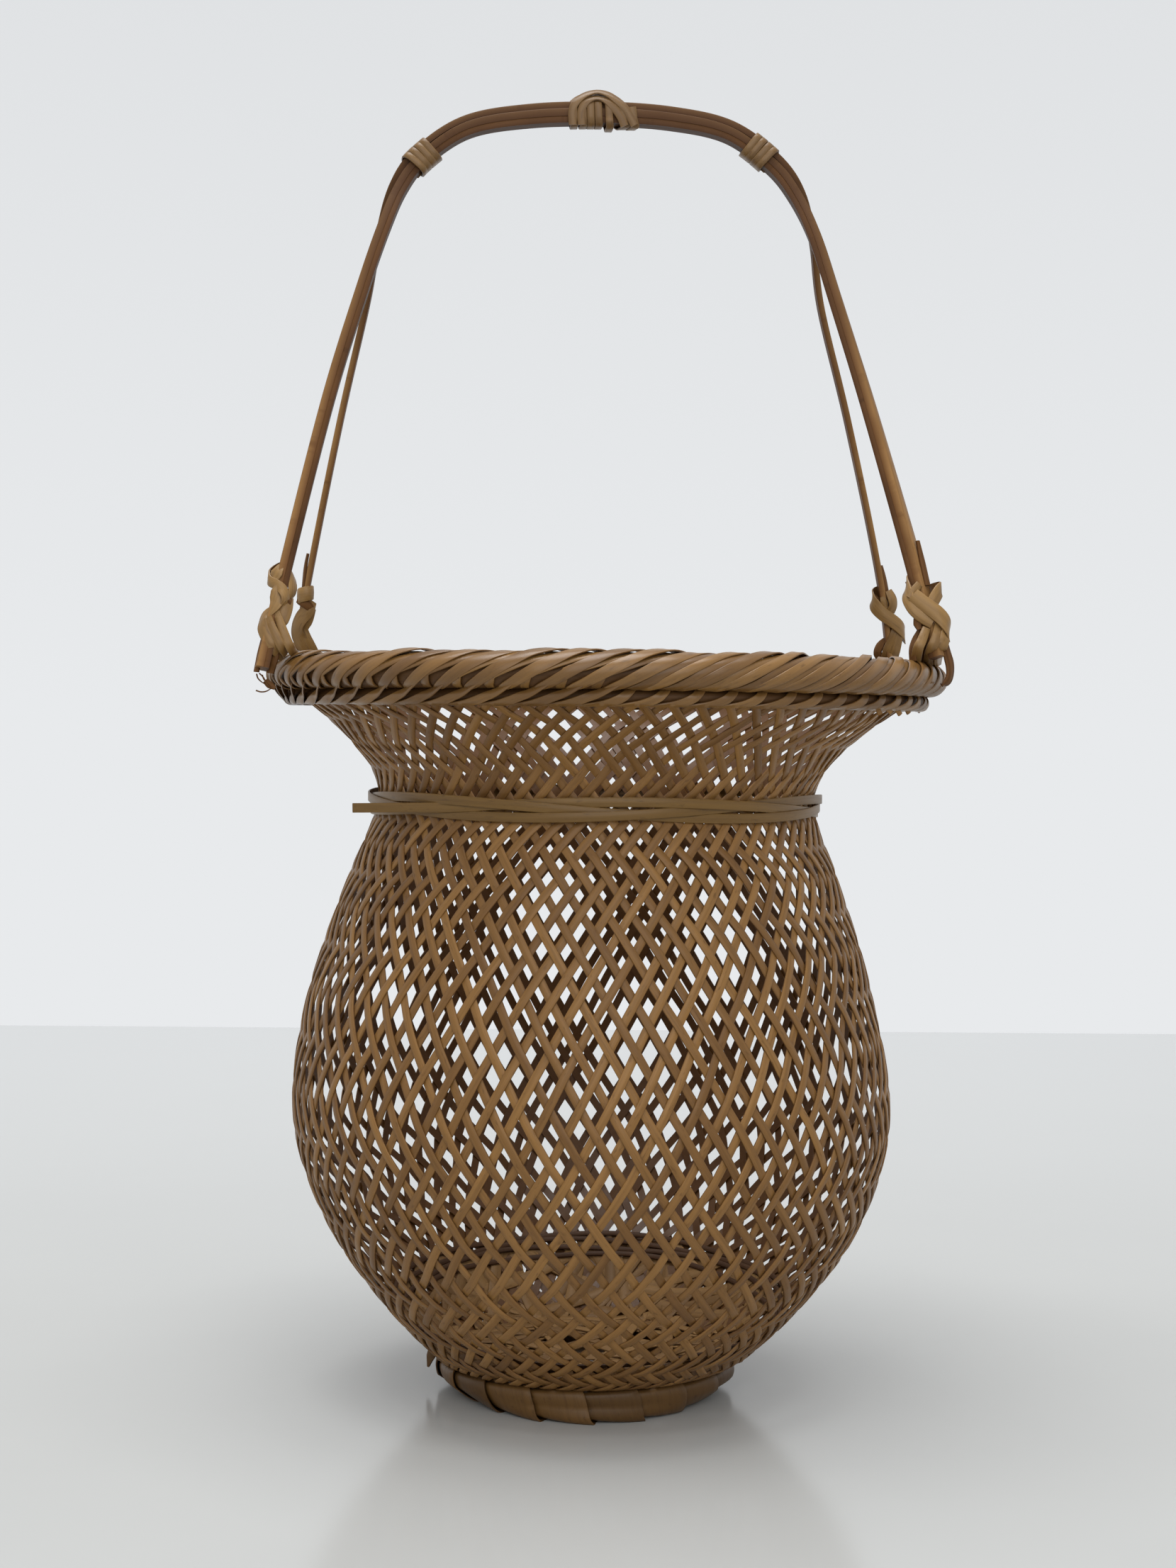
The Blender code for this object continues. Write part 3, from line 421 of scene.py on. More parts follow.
def buildWall(side, name, node):
    strip = flatStrip(wall["width"], wall["thickness"], wall["steps"], 0.16)
    made = []
    for i in range(wall["splints"]):
        start = 2 * math.pi * i / wall["splints"] + (0 if side > 0 else rowTurn)
        wobble = [
            (dice.uniform(0.1, 0.4), dice.uniform(0.6, 1.6), dice.uniform(0, 6.3)),
            (dice.uniform(0.05, 0.22), dice.uniform(2.5, 5), dice.uniform(0, 6.3)),
        ]
        path = splintPath(side, start, wobble, dice.uniform(-0.05, 0.05))
        made.append(layStrip(strip, path, dice.random()))
    discard(strip)
    return finishPiece(made, name, wallBamboo, [node])


buildWall(1, "plaitRight", "weave_right_splints")
buildWall(-1, "plaitLeft", "weave_left_splints")
print("wall plaited")

# rim roll: pairs of splints wound round a core, and the thinner ring of single splints under it
rim = {
    "wraps": 65, "thickness": 0.5, "reach": 0.099,
    "rollRadius": 99.4, "rollHeight": 225.3, "rollHalfWidth": 7.0, "rollHalfDepth": 5.25, "rollWidth": 2.7,
    "ringRadius": 98.6, "ringHeight": 218.4, "ringHalfWidth": 2.6, "ringHalfDepth": 2.2, "ringWidth": 2.7,
    # radius, height, half width and half depth of the cores inside the windings
    "rollCore": (99.2, 225.2, 6.1, 4.7),
    "ringCore": (98.2, 218.7, 2.1, 2.2),
}


# tilts go round the section from its outer side, advances along the rim in mm, shares stand off the core
def ringPath(start, tilts, advances, shares, radius, height, halfWidth, halfDepth, count=49, sharp=False):
    knots = columns(tilts, advances, shares)
    knots = resampled(knots, count) if sharp else smoothCurve(knots, count)
    tilt = np.radians(knots[:, 0])
    angle = start + knots[:, 1] / radius
    r = (radius + halfWidth * knots[:, 2] * np.cos(tilt)) * mm
    z = (height + halfDepth * knots[:, 2] * np.sin(tilt)) * mm
    c, s = np.cos(angle), np.sin(angle)
    places = columns(r * c + sideShift(height * mm), r * s, z)
    normals = columns(np.cos(tilt) * c, np.cos(tilt) * s, np.sin(tilt))
    return makePath(places, normals)


def turnedRing(name, radius, height, halfWidth, halfDepth, material, slotName):
    deselectAll()
    bpy.ops.mesh.primitive_torus_add(
        major_radius=radius * mm, minor_radius=halfDepth * mm, major_segments=180, minor_segments=16,
        location=(0, 0, height * mm), generate_uvs=True,
    )
    ring = bpy.context.object
    bpy.ops.object.transform_apply(location=True, rotation=True, scale=True)
    for vertex in ring.data.vertices:
        flat = math.hypot(vertex.co.x, vertex.co.y)
        share = (radius * mm + (flat - radius * mm) * halfWidth / halfDepth) / flat
        vertex.co.x = vertex.co.x * share + sideShift(height * mm)
        vertex.co.y *= share
    for loop in ring.data.uv_layers.active.data:
        loop.uv = (loop.uv[0] * 2 * math.pi * radius * mm, loop.uv[1] * 2 * math.pi * halfDepth * mm)
    for label, value in (("tone", 0.5), ("skin", 1.0)):
        markPoints(ring.data, label, [value] * len(ring.data.vertices))
    return finishPiece([ring], name, material, [])


# how far a place on the rim is round from the front, in degrees, negative to the left
def fromFront(angle):
    return (math.degrees(angle) + 90 + 180) % 360 - 180


# the angle that a length in mm takes up on the rim
def rimAngle(length):
    return length * mm / rim["reach"]


def buildRoll():
    strip = flatStrip(rim["rollWidth"], rim["thickness"], 56)
    section = (rim["rollRadius"], rim["rollHeight"], rim["rollHalfWidth"], rim["rollHalfDepth"])
    made = []
    for i in range(rim["wraps"]):
        place = 2 * math.pi * i / rim["wraps"]
        aside = fromFront(place)
        folded = -95 < aside < -3
        arch = dice.choice((0.0, 0.03, 0.08, 0.16)) + dice.uniform(0, 0.03)
        pull = dice.uniform(-1.2, 1.2)
        lean = np.interp(aside, (-100, -45, -10, 20, 60, 100), (0.65, 1.0, 1.25, 1.4, 1.15, 0.75))
        # the first splint of a pair: where it is folded it starts as a short upright stub
        start = place + rimAngle(dice.uniform(-0.4, 0.4))
        if folded:
            bend = dice.uniform(-6, 6)
            tilts = (-80, -45, -8 + bend, -1 + bend, 30, 60, 88, 120, 165, 215, 262)
            advances = (0.0, 0.5, 1.6, 2.3, 8.5, 14.5, 20.5 + pull, 26.0 + pull, 31.5, 37.0, 41.0)
            shares = (0.84, 0.97, 1.05, 1.05, 0.99, 1.0, 1.0 + arch * 0.4, 1.0, 0.97, 0.9, 0.7)
        else:
            tilts = (-86, -62, -30, 0, 30, 60, 88, 120, 165, 215, 262)
            advances = (0.0, 1.2, 4.2, 7.4, 11.6, 16.4, 21.2 + pull, 26.0 + pull, 31.5, 37.0, 41.0)
            shares = (0.80, 0.92, 0.99, 1.0, 1.0, 1.0, 1.0 + arch * 0.4, 1.0, 0.97, 0.9, 0.7)
        advances = np.array(advances) * lean
        path = ringPath(start, tilts, advances, shares, *section, count=113, sharp=folded)
        made.append(layStrip(strip, path, dice.random(), (0.6, 1), 0.08))
        # the second lies over it, wider in the middle and pointed where it leaves the groove
        start = place + rimAngle(2.6 + dice.uniform(-0.5, 0.5))
        tilts = (-84, -58, -30, 0, 30, 60, 88, 120, 165, 215, 262)
        advances = (0.0, 1.4, 4.6, 8.4, 12.6, 17.2, 22.2 + pull, 27.0 + pull, 32.5, 38.0, 42.0)
        shares = (0.86, 0.98, 1.04, 1.07, 1.07, 1.06 + arch * 0.7, 1.05 + arch, 1.03, 1.0, 0.92, 0.75)
        advances = np.array(advances) * lean
        path = ringPath(start, tilts, advances, shares, *section, count=113)
        broad = dice.uniform(1.15, 1.4) if folded else dice.uniform(0.95, 1.2)
        tip, reach = (0.6, 0.1) if folded else (0.25, 0.16)
        widths = (1, broad, broad, 1)
        made.append(layStrip(strip, path, dice.random(), (tip, 1), reach, widths))
    discard(strip)
    return finishPiece(made, "rimRollWraps", rimBamboo, ["rim_roll"])


def buildRing():
    strip = flatStrip(rim["ringWidth"], rim["thickness"], 40)
    section = (rim["ringRadius"], rim["ringHeight"], rim["ringHalfWidth"], rim["ringHalfDepth"])
    made = []
    for i in range(rim["wraps"]):
        start = 2 * math.pi * (i + 0.35) / rim["wraps"] + rimAngle(dice.uniform(-0.4, 0.4))
        tilts = (-105, -80, -55, -28, 0, 30, 62, 95)
        advances = (-3.4, 2.6, 8.2, 12.0, 14.4, 15.9, 17.0, 17.8)
        shares = (0.95, 1.0, 1.03, 1.05, 1.07, 1.10, 1.25, 1.7)
        if -98 < fromFront(start) < -8:
            # between the folded stubs a wrap rises in front of the roll
            tilts = (-105, -80, -55, -28, 0, 18, 32, 42)
            advances = (-3.4, 2.6, 8.0, 11.6, 14.6, 17.4, 20.4, 23.4)
            shares = (0.95, 1.0, 1.03, 1.05, 1.12, 1.45, 2.2, 3.0)
        path = ringPath(start, tilts, advances, shares, *section, count=81)
        made.append(layStrip(strip, path, dice.random(), (0.1, 0.8), 0.42))
    discard(strip)
    return finishPiece(made, "rimRingWraps", rimBamboo, ["rim_lower_braid"])


buildRoll()
buildRing()
turnedRing("rimRollCore", *rim["rollCore"], shadeBamboo, "lashing_bamboo")
turnedRing("rimRingCore", *rim["ringCore"], shadeBamboo, "splint_bamboo")
print("rim wound")

# foot: a wide strip wound round the ring, each turn lying on the one before; towards the floor the ring
# narrows at its sides and reaches out at its front
foot = {
    "turns": 18, "first": 0.075, "radius": 42.2, "middle": 5.0, "halfWidth": 4.3, "halfDepth": 4.7,
    "slant": 1.9, "shift": -1.2, "stripWidth": 17.6, "thickness": 0.5, "rise": 0.085, "round": 46.0,
    "narrow": 6.0, "forward": 10.0, "core": (42.2, 5.6, 2.6, 3.2),
    # a torn end that stands off at the left, just above the ring, as it is seen
    "torn": ((613, 1900, 0, -20), (608, 1912, 0, -25), (604, 1928, 0, -30)),
}


def buildFoot():
    strip = flatStrip(foot["stripWidth"], foot["thickness"], 48, 0.12, acrossSteps=6)
    count = 97
    spot = np.arange(count)
    tilt = np.linspace(-120, 262, count)
    t = np.radians(tilt)
    c, s = np.cos(t), np.sin(t)
    reach = foot["radius"] + foot["halfWidth"] * np.sign(c) * np.abs(c) ** 0.65 + foot["slant"] * s
    high = foot["middle"] + foot["halfDepth"] * s
    outward = unit(columns(c * foot["halfDepth"], s * foot["halfWidth"]))
    # most of the advance of a turn is made on its inner side
    advances = -np.interp(tilt, (-120, -90, -40, 60, 90, 262), (0, 1.5, 3.6, 5.8, 7.0, 18.4))
    # the straight path gives a turn its length, and so the scale of its pattern
    flat = columns(tilt * 0.08, reach, high) * mm
    path = makePath(flat, np.tile([0.0, 1.0, 0.0], (count, 1)))
    made = []
    for i in range(foot["turns"]):
        # a turn starts a little off its even place
        start = foot["first"] + 2 * math.pi * i / foot["turns"] + dice.uniform(-0.6, 0.6) * mm / 0.045
        turn = layStrip(strip, path, dice.random())
        # every point keeps its place along and across the strip and goes round the ring
        co = np.array([v.co[:] for v in strip.data.vertices])
        where = co[:, 0] * (count - 1)
        angle = start + (np.interp(where, spot, advances) + co[:, 1] / mm) / foot["round"]
        lift = co[:, 2] / mm + foot["rise"] * co[:, 1] / mm
        r = np.interp(where, spot, reach) + np.interp(where, spot, outward[:, 0]) * lift
        z = np.interp(where, spot, high) + np.interp(where, spot, outward[:, 1]) * lift
        front = np.clip(-np.sin(angle), 0, 1) ** 2
        low = np.clip((foot["middle"] - z) / foot["middle"], 0, 1)
        r = r + low * (foot["forward"] * front - foot["narrow"])
        z = np.where(z < 0, z * 0.04, z)
        places = columns(r * np.cos(angle) + foot["shift"], r * np.sin(angle), z) * mm
        turn.data.vertices.foreach_set("co", places.ravel())
        turn.data.update()
        made.append(turn)
    discard(strip)
    made.append(layTraced(3.2, (1, 0.9, 0.2), foot["torn"], "middle", 0.6))
    finishPiece(made, "footTurns", wrapBamboo, ["foot_wrap", "foot_core_hoop"])
    turnedRing("footCore", *foot["core"], darkBamboo, "lining_bamboo")


# base: broad chords that cross the bottom and run up inside the wall, and thin hoops over their ends
base = {
    "chords": 68, "insets": (8.0, 22.0, 34.0, 42.0, 50.0, 57.0), "level": 11.2, "flat": 45.5, "width": 3.8,
    "thickness": 0.5, "rise": 26.0, "tilt": 7.0, "hoops": (-4.6, -2.4, -0.6, 1.2),
}


# height of the inside of the bottom at a distance from the middle
def bowlHeight(r):
    radii = meridian["r"][40:400] / mm - 1.3
    heights = meridian["z"][40:400] / mm
    return np.where(r < base["flat"], base["level"], np.interp(r, radii, heights))


# how high the edge of the base stands, most at the back
def bowlEdge(angle):
    return base["rise"] + base["tilt"] * np.sin(angle)


def bowlRadius(height):
    return np.interp(height, meridian["z"][40:400] / mm, meridian["r"][40:400] / mm) - 1.3


def buildBase():
    strip = flatStrip(base["width"], base["thickness"], 60)
    made = []
    for i in range(base["chords"]):
        inner = base["insets"][i % 6] + dice.uniform(-3, 3)
        turn = 2 * math.pi * i * 0.618
        x = np.linspace(-80, 80, 641)
        px = x * -math.sin(turn) + inner * math.cos(turn)
        py = x * math.cos(turn) + inner * math.sin(turn)
        r = np.hypot(px, py)
        inside = r < bowlRadius(bowlEdge(np.arctan2(py, px)))
        if inside.sum() < 80:
            continue
        x, px, py, r = x[inside], px[inside], py[inside], r[inside]
        layer = 0.55 * np.sin(x / 9 + i) - 0.3
        z = np.maximum(bowlHeight(r) + layer, base["level"] - 0.8)
        slope = (bowlHeight(r + 1) - bowlHeight(r - 1)) / 2
        places = resampled(columns(px, py, z) * mm + [sideShift(0.02), 0, 0], 121)
        share = np.linspace(0, 1, 121)
        spot = np.linspace(0, 1, len(x))
        slopes = np.interp(share, spot, np.clip(slope, 0, 2))
        away = unit(columns(places[:, 0], places[:, 1], np.zeros(121)) + 1e-9)
        normals = np.array([0, 0, 1]) - away * slopes[:, None]
        made.append(layStrip(strip, makePath(places, unit(normals)), dice.random()))
    discard(strip)
    return finishPiece(made, "baseChords", baseBamboo, ["base_plait"])


# thin dark hoops that hold the ends of the chords, inside the wall
def buildBaseHoops():
    strip = flatStrip(1.7, 0.7, 120, 0.16)
    made = []
    for lift in base["hoops"]:
        angle = np.linspace(0, 2 * math.pi, 241) + dice.uniform(0, 6)
        height = bowlEdge(angle) + lift + 0.5 * np.sin(5 * angle + lift)
        r = bowlRadius(height) - 0.9
        places = columns(r * np.cos(angle), r * np.sin(angle), height) * mm
        places[:, 0] += sideShift(0.02)
        normals = columns(-np.cos(angle), -np.sin(angle), np.full(241, 0.7))
        made.append(layStrip(strip, makePath(places, unit(normals)), dice.random()))
    discard(strip)
    return finishPiece(made, "baseHoops", darkBamboo, ["base_hoop"])


buildBase()
buildBaseHoops()
print("base made")

# neck tie: three strips plaited loosely, one with a free end
tie = {
    "height": 185.9, "radius": 70.3, "width": 2.9, "thickness": 0.55, "sway": 2.45, "weave": 0.72,
    "cycles": 2, "endAngle": -128.0, "endLength": 38.0,
}


def buildTie():
    strip = flatStrip(tie["width"], tie["thickness"], 180, 0.16)
    first = math.radians(tie["endAngle"])
    for letter, phase in (("a", 1), ("b", 0), ("c", 2)):
        hasEnd = letter == "b"
        start, end = (0, 2 * math.pi) if hasEnd else (2.2, 8.5)
        angle = np.linspace(first + start, first + end, 361)
        sway = tie["cycles"] * (angle - first) + 2 * math.pi * phase / 3
        r = (tie["radius"] + 0.6 - tie["weave"] * np.sin(2 * sway)) * mm
        z = (tie["height"] + tie["sway"] * np.sin(sway)) * mm
        places = columns(r * np.cos(angle), r * np.sin(angle), z)
        normals = columns(np.cos(angle), np.sin(angle), np.zeros(361))
        if hasEnd:
            out = places[0] - places[1]
            out = out / np.linalg.norm(out)
            run = np.linspace(1, 0, 30, endpoint=False)[:, None]
            out[2] += 0.035
            places = np.concatenate([places[0] + out * run * tie["endLength"] * mm, places])
            normals = np.concatenate([np.tile(normals[0], (30, 1)), normals])
        path = makePath(places, normals)
        path = tuple(rows[np.linspace(0, len(rows) - 1, 361).astype(int)] for rows in path)
        laid = layStrip(strip, path, dice.random())
        name, node = "neckTie" + letter.upper(), f"neck_tie_strand_{letter}"
        finishPiece([laid], name, tieBamboo, [node])
    discard(strip)


buildTie()
print("neck tied")

# handle: half of each hoop from a leg's end to the crown, as shares of span, spread and rise
handle = {
    "count": 400, "legRadius": 111.05, "legAngle": 23.5, "legEnd": 226.5, "crown": 403.25,
    "rises": (0.0, 0.183, 0.469, 0.669, 0.785, 0.862, 0.917, 0.972, 0.994, 1.0),
    "spreads": (1.0, 0.82, 0.53, 0.32, 0.17, 0.05, 0.0, 0.0, 0.0, 0.0),
    # in metres: the spread at which a leg leans fully, and half of the arch's width
    "leanReach": 0.044, "archReach": 0.06, "archThin": 0.12,
    # the right front leg is cut narrow where it passes the rim: from this height, over this rise, in metres
    "cut": (0.2265, 0.018),
    "front": {
        "left": (1.003, 0.940, 0.832, 0.738, 0.678, 0.628, 0.560, 0.420, 0.225, 0.0),
        "right": (0.998, 0.944, 0.816, 0.718, 0.660, 0.602, 0.529, 0.392, 0.210, 0.0),
        "twists": (5, -38), "ends": (0.0, 0.033),
    },
    "back": {
        "left": (1.0, 0.925, 0.803, 0.712, 0.670, 0.628, 0.560, 0.420, 0.225, 0.0),
        "right": (1.004, 0.938, 0.794, 0.684, 0.644, 0.602, 0.529, 0.392, 0.210, 0.0),
        "twists": (1, 0), "ends": (0.0, 0.0),
    },
}


# atLeg and onArch move the bar out along its normal, in mm
def hoopPath(which, atLeg, onArch):
    count = handle["count"]
    toward = -1 if which == "front" else 1
    plan = handle[which]
    spin = math.radians(handle["legAngle"])
    span = handle["legRadius"] * math.cos(spin)
    spread = handle["legRadius"] * math.sin(spin)
    rise = handle["crown"] - handle["legEnd"]

    def half(shares, way, end):
        rows = zip(shares, handle["spreads"], (end,) + handle["rises"][1:])
        return [(way * span * a, spread * toward * b, handle["legEnd"] + rise * c) for a, b, c in rows]

    left, right = half(plan["left"], -1, plan["ends"][0]), half(plan["right"], 1, plan["ends"][1])
    places = smoothCurve(left + right[-2::-1], count) * mm
    forward = unit(np.gradient(places, axis=0))
    lean = np.clip(np.abs(places[:, 1]) / (spread * mm), 0, 1)
    turn = np.radians(np.where(places[:, 0] < 0, *plan["twists"])) * lean
    side = columns(-np.sin(turn), np.cos(turn), np.zeros(count))
    side = unit(side - forward * (side * forward).sum(1)[:, None])
    normal = np.cross(forward, side)
    offset = (onArch + (atLeg - onArch) * lean**2) * mm
    places = places + normal * offset[:, None]
    return places, side, normal


# slim and thin are the shares of width and thickness left at the legs' ends
def buildHoop(name, path, material, node, slotName, size, slim, thin, crown, rounding):
    offset, width, thickness = size
    strip = flatStrip(width, thickness, 260, rounding, acrossSteps=2, crown=crown)
    places, side, normal = path
    # lean is 1 at a leg's end and 0 on the arch, which gets thinner from its middle to its shoulders
    lean = np.clip(np.abs(places[:, 1]) / handle["leanReach"], 0, 1) ** 0.6
    aside = np.clip(np.abs(places[:, 0]) / handle["archReach"], 0, 1)
    depths = 1 - (1 - thin) * lean - handle["archThin"] * aside * (1 - lean)
    widths = 1 - (1 - slim) * lean
    if path is frontPath:
        low, reach = handle["cut"]
        atEnd = np.where(places[:, 0] > 0, np.clip((places[:, 2] - low) / reach, 0, 1), 1)
        widths = widths * (0.4 + 0.6 * atEnd)
    places = places + normal * (offset * mm * depths)[:, None]
    laid = layStrip(strip, (places, -side, normal), dice.random(), widths=widths, depths=depths)
    discard(strip)
    return finishPiece([laid], name, material, [node])


frontPath = hoopPath("front", 0, 0)
backPath = hoopPath("back", -1.6, 2.4)
bars = (
    # name, path, material, node, slot, (offset, width, thickness), slim, thin, crown, rounding
    ("frontHoop", frontPath, handleBamboo, "handle_front_hoop", "hoop_bamboo",
     (0, 6.0, 2.5), 0.92, 0.84, 0.35, 0.2),
    ("frontLining", frontPath, liningBamboo, "handle_front_lining", "lining_bamboo",
     (-2.32, 5.8, 2.1), 0.92, 0.80, 0.0, 0.05),
    ("backHoop", backPath, handleBamboo, "handle_back_hoop", "lining_bamboo",
     (0, 4.2, 2.1), 0.9, 0.9, 0.3, 0.3),
)
for bar in bars:
    buildHoop(*bar)
print("handle bent")


# lashings: a knot on a bar is how far along in mm, the tilt round it in degrees and the lift off it
class Bar:
    def __init__(self, path, start, direction, halfThickness, halfWidth):
        self.places, self.side, self.normal = (rows[::direction] for rows in path)
        gone = np.r_[0, np.cumsum(np.linalg.norm(np.diff(self.places, axis=0), axis=1))] / mm
        self.along = gone - start
        self.halfThickness = halfThickness
        self.halfWidth = halfWidth

    def knot(self, along, tilt, lift):
        pick = lambda rows: np.array([np.interp(along, self.along, column) for column in rows.T])
        place, side, normal = pick(self.places), -pick(self.side), pick(self.normal)
        c, s = math.cos(math.radians(tilt)), math.sin(math.radians(tilt))
        x = math.copysign(abs(c) ** 0.6, c) * self.halfThickness + lift * c
        y = math.copysign(abs(s) ** 0.6, s) * self.halfWidth + lift * s
        return np.r_[place + (normal * x + side * y) * mm, normal * c + side * s]


def knotPath(knots, count):
    knots = np.array(knots)
    knots[:, 3:] *= 0.02
    rows = smoothCurve(knots, count)
    return makePath(rows[:, :3], unit(rows[:, 3:]))


# a knot given as it is seen: column, row, how far behind the bar's middle in mm, which way it faces
# from the viewer in degrees, positive to the right, and how far up it faces, both 0 where they aren't given
def seenKnot(behind, column, row, depth, facing=0, up=0):
    place = seen(column, row, (behind + depth) * mm)
    a, b = math.radians(facing), math.radians(up)
    return np.r_[place, math.sin(a) * math.cos(b), -math.cos(a) * math.cos(b), math.sin(b)]


def layKnots(strip, knots, steps=60, widths=(1, 1)):
    return layStrip(strip, knotPath(knots, 2 * steps + 1), dice.uniform(0, 0.6), widths=widths)


crown = {
    # top and bottom of each wrap from the middle of the crown, in mm
    "wraps": ((-9.7, -9.4), (-6.9, -6.4), (-4.4, -4), (-2.2, -1.4), (1, 2), (4.2, 7.3), (7.4, 10.3)),
    "width": 2.35, "loopWidth": 2.5, "thickness": 0.5,
    # strips that arch over the knot, as they are seen, and their shares of width
    "arches": (
        ((1, 1), ((808, 176, -3.9), (807, 160, -4.1), (810, 148, -4, 0, 15), (818, 139, -3.4, 0, 40),
         (829, 132.5, -2.8, 0, 50), (843, 129.5, -2.4, 0, 55), (857, 133, -2.8, 0, 45),
         (869, 141, -3.4, 0, 30), (881, 152, -4, 0, 10), (889, 165, -4.1), (895, 177, -4))),
        ((1, 1), ((821, 176, -3.9), (820, 160, -4.1), (823, 149, -4, 0, 15), (830, 141.5, -3.7, 0, 35),
         (839, 138, -3.3, 0, 45), (849, 139, -3.3, 0, 45), (858, 144, -3.7, 0, 30),
         (867, 153, -4, 0, 10), (876, 166, -4.1), (881, 178, -4))),
        ((1.3, 1.9, 1.3), ((806, 158, -1.5), (811, 147, -1, 0, 30), (825, 137, -0.6, 0, 50),
         (843, 132.5, -0.4, 0, 60), (860, 137, -0.6, 0, 50), (875, 149, -1, 0, 30), (884, 160, -1.5))),
        ((1.3, 1.9, 1.3), ((808, 152, 1.6), (822, 140, 1.6, 0, 50), (843, 134.5, 1.6, 0, 60),
         (862, 140, 1.6, 0, 50), (880, 156, 1.6))),
    ),
}


def buildCrown():
    strip = flatStrip(crown["width"], crown["thickness"], 60, crown=0.08)
    middle = int(np.argmin(np.abs(frontPath[0][:, 0])))
    half = pathLength(frontPath[0][:middle + 1]) / mm
    bar = Bar(frontPath, half, 1, 3.6, 3.1)
    made = []
    for index, (top, bottom) in enumerate(crown["wraps"]):
        knots = []
        for tilt in range(75 if index in (0, 1, 5, 6) else -120, 241, 15):
            share = min(max(tilt / 150, 0), 1) if tilt < 150 else 1 - (tilt - 150) / 90
            lift = 0.3 + 0.0014 * (tilt + 120)
            if index == 4 and 120 <= tilt <= 200:
                lift += 0.8
            knots.append(bar.knot(top + (bottom - top) * share, tilt, lift))
        made.append(layKnots(strip, knots))
    discard(strip)
    finishPiece(made, "crownWraps", knotBamboo, ["crown_knot_wrap"])
    strip = flatStrip(crown["loopWidth"], crown["thickness"], 60, crown=0.1)
    loops = []
    for shares, knots in crown["arches"]:
        loops.append(layKnots(strip, [seenKnot(0.35, *knot) for knot in knots], widths=shares))
    discard(strip)
    return finishPiece(loops, "crownLoop", knotBamboo, ["crown_knot_loop"])


# shoulder ties: how far up each leg they sit, left and right, and their turns from there, in mm
shoulder = {
    "along": (175.2, 176.0), "turns": (-3.3, -1.2, 1.1, 3.2), "width": 2.15, "thickness": 0.5,
}


def buildShoulder(way, name, node):
    strip = flatStrip(shoulder["width"], shoulder["thickness"], 120, crown=0.08)
    bar = Bar(frontPath, 0.0, way, 3.45, 3.2)
    middle = shoulder["along"][0 if way > 0 else 1]
    made = []
    for aside in shoulder["turns"]:
        knots = []
        for tilt in range(-140, 236, 15):
            along = middle + aside + (tilt - 40) * 0.004
            knots.append(bar.knot(along, tilt, 0.30 + 0.0018 * (tilt + 140)))
        made.append(layKnots(strip, knots))
    discard(strip)
    return finishPiece(made, name, knotBamboo, [node])


buildCrown()
buildShoulder(1, "shoulderTieLeft", "shoulder_lashing_left")
buildShoulder(-1, "shoulderTieRight", "shoulder_lashing_right")
print("crown and shoulders tied")

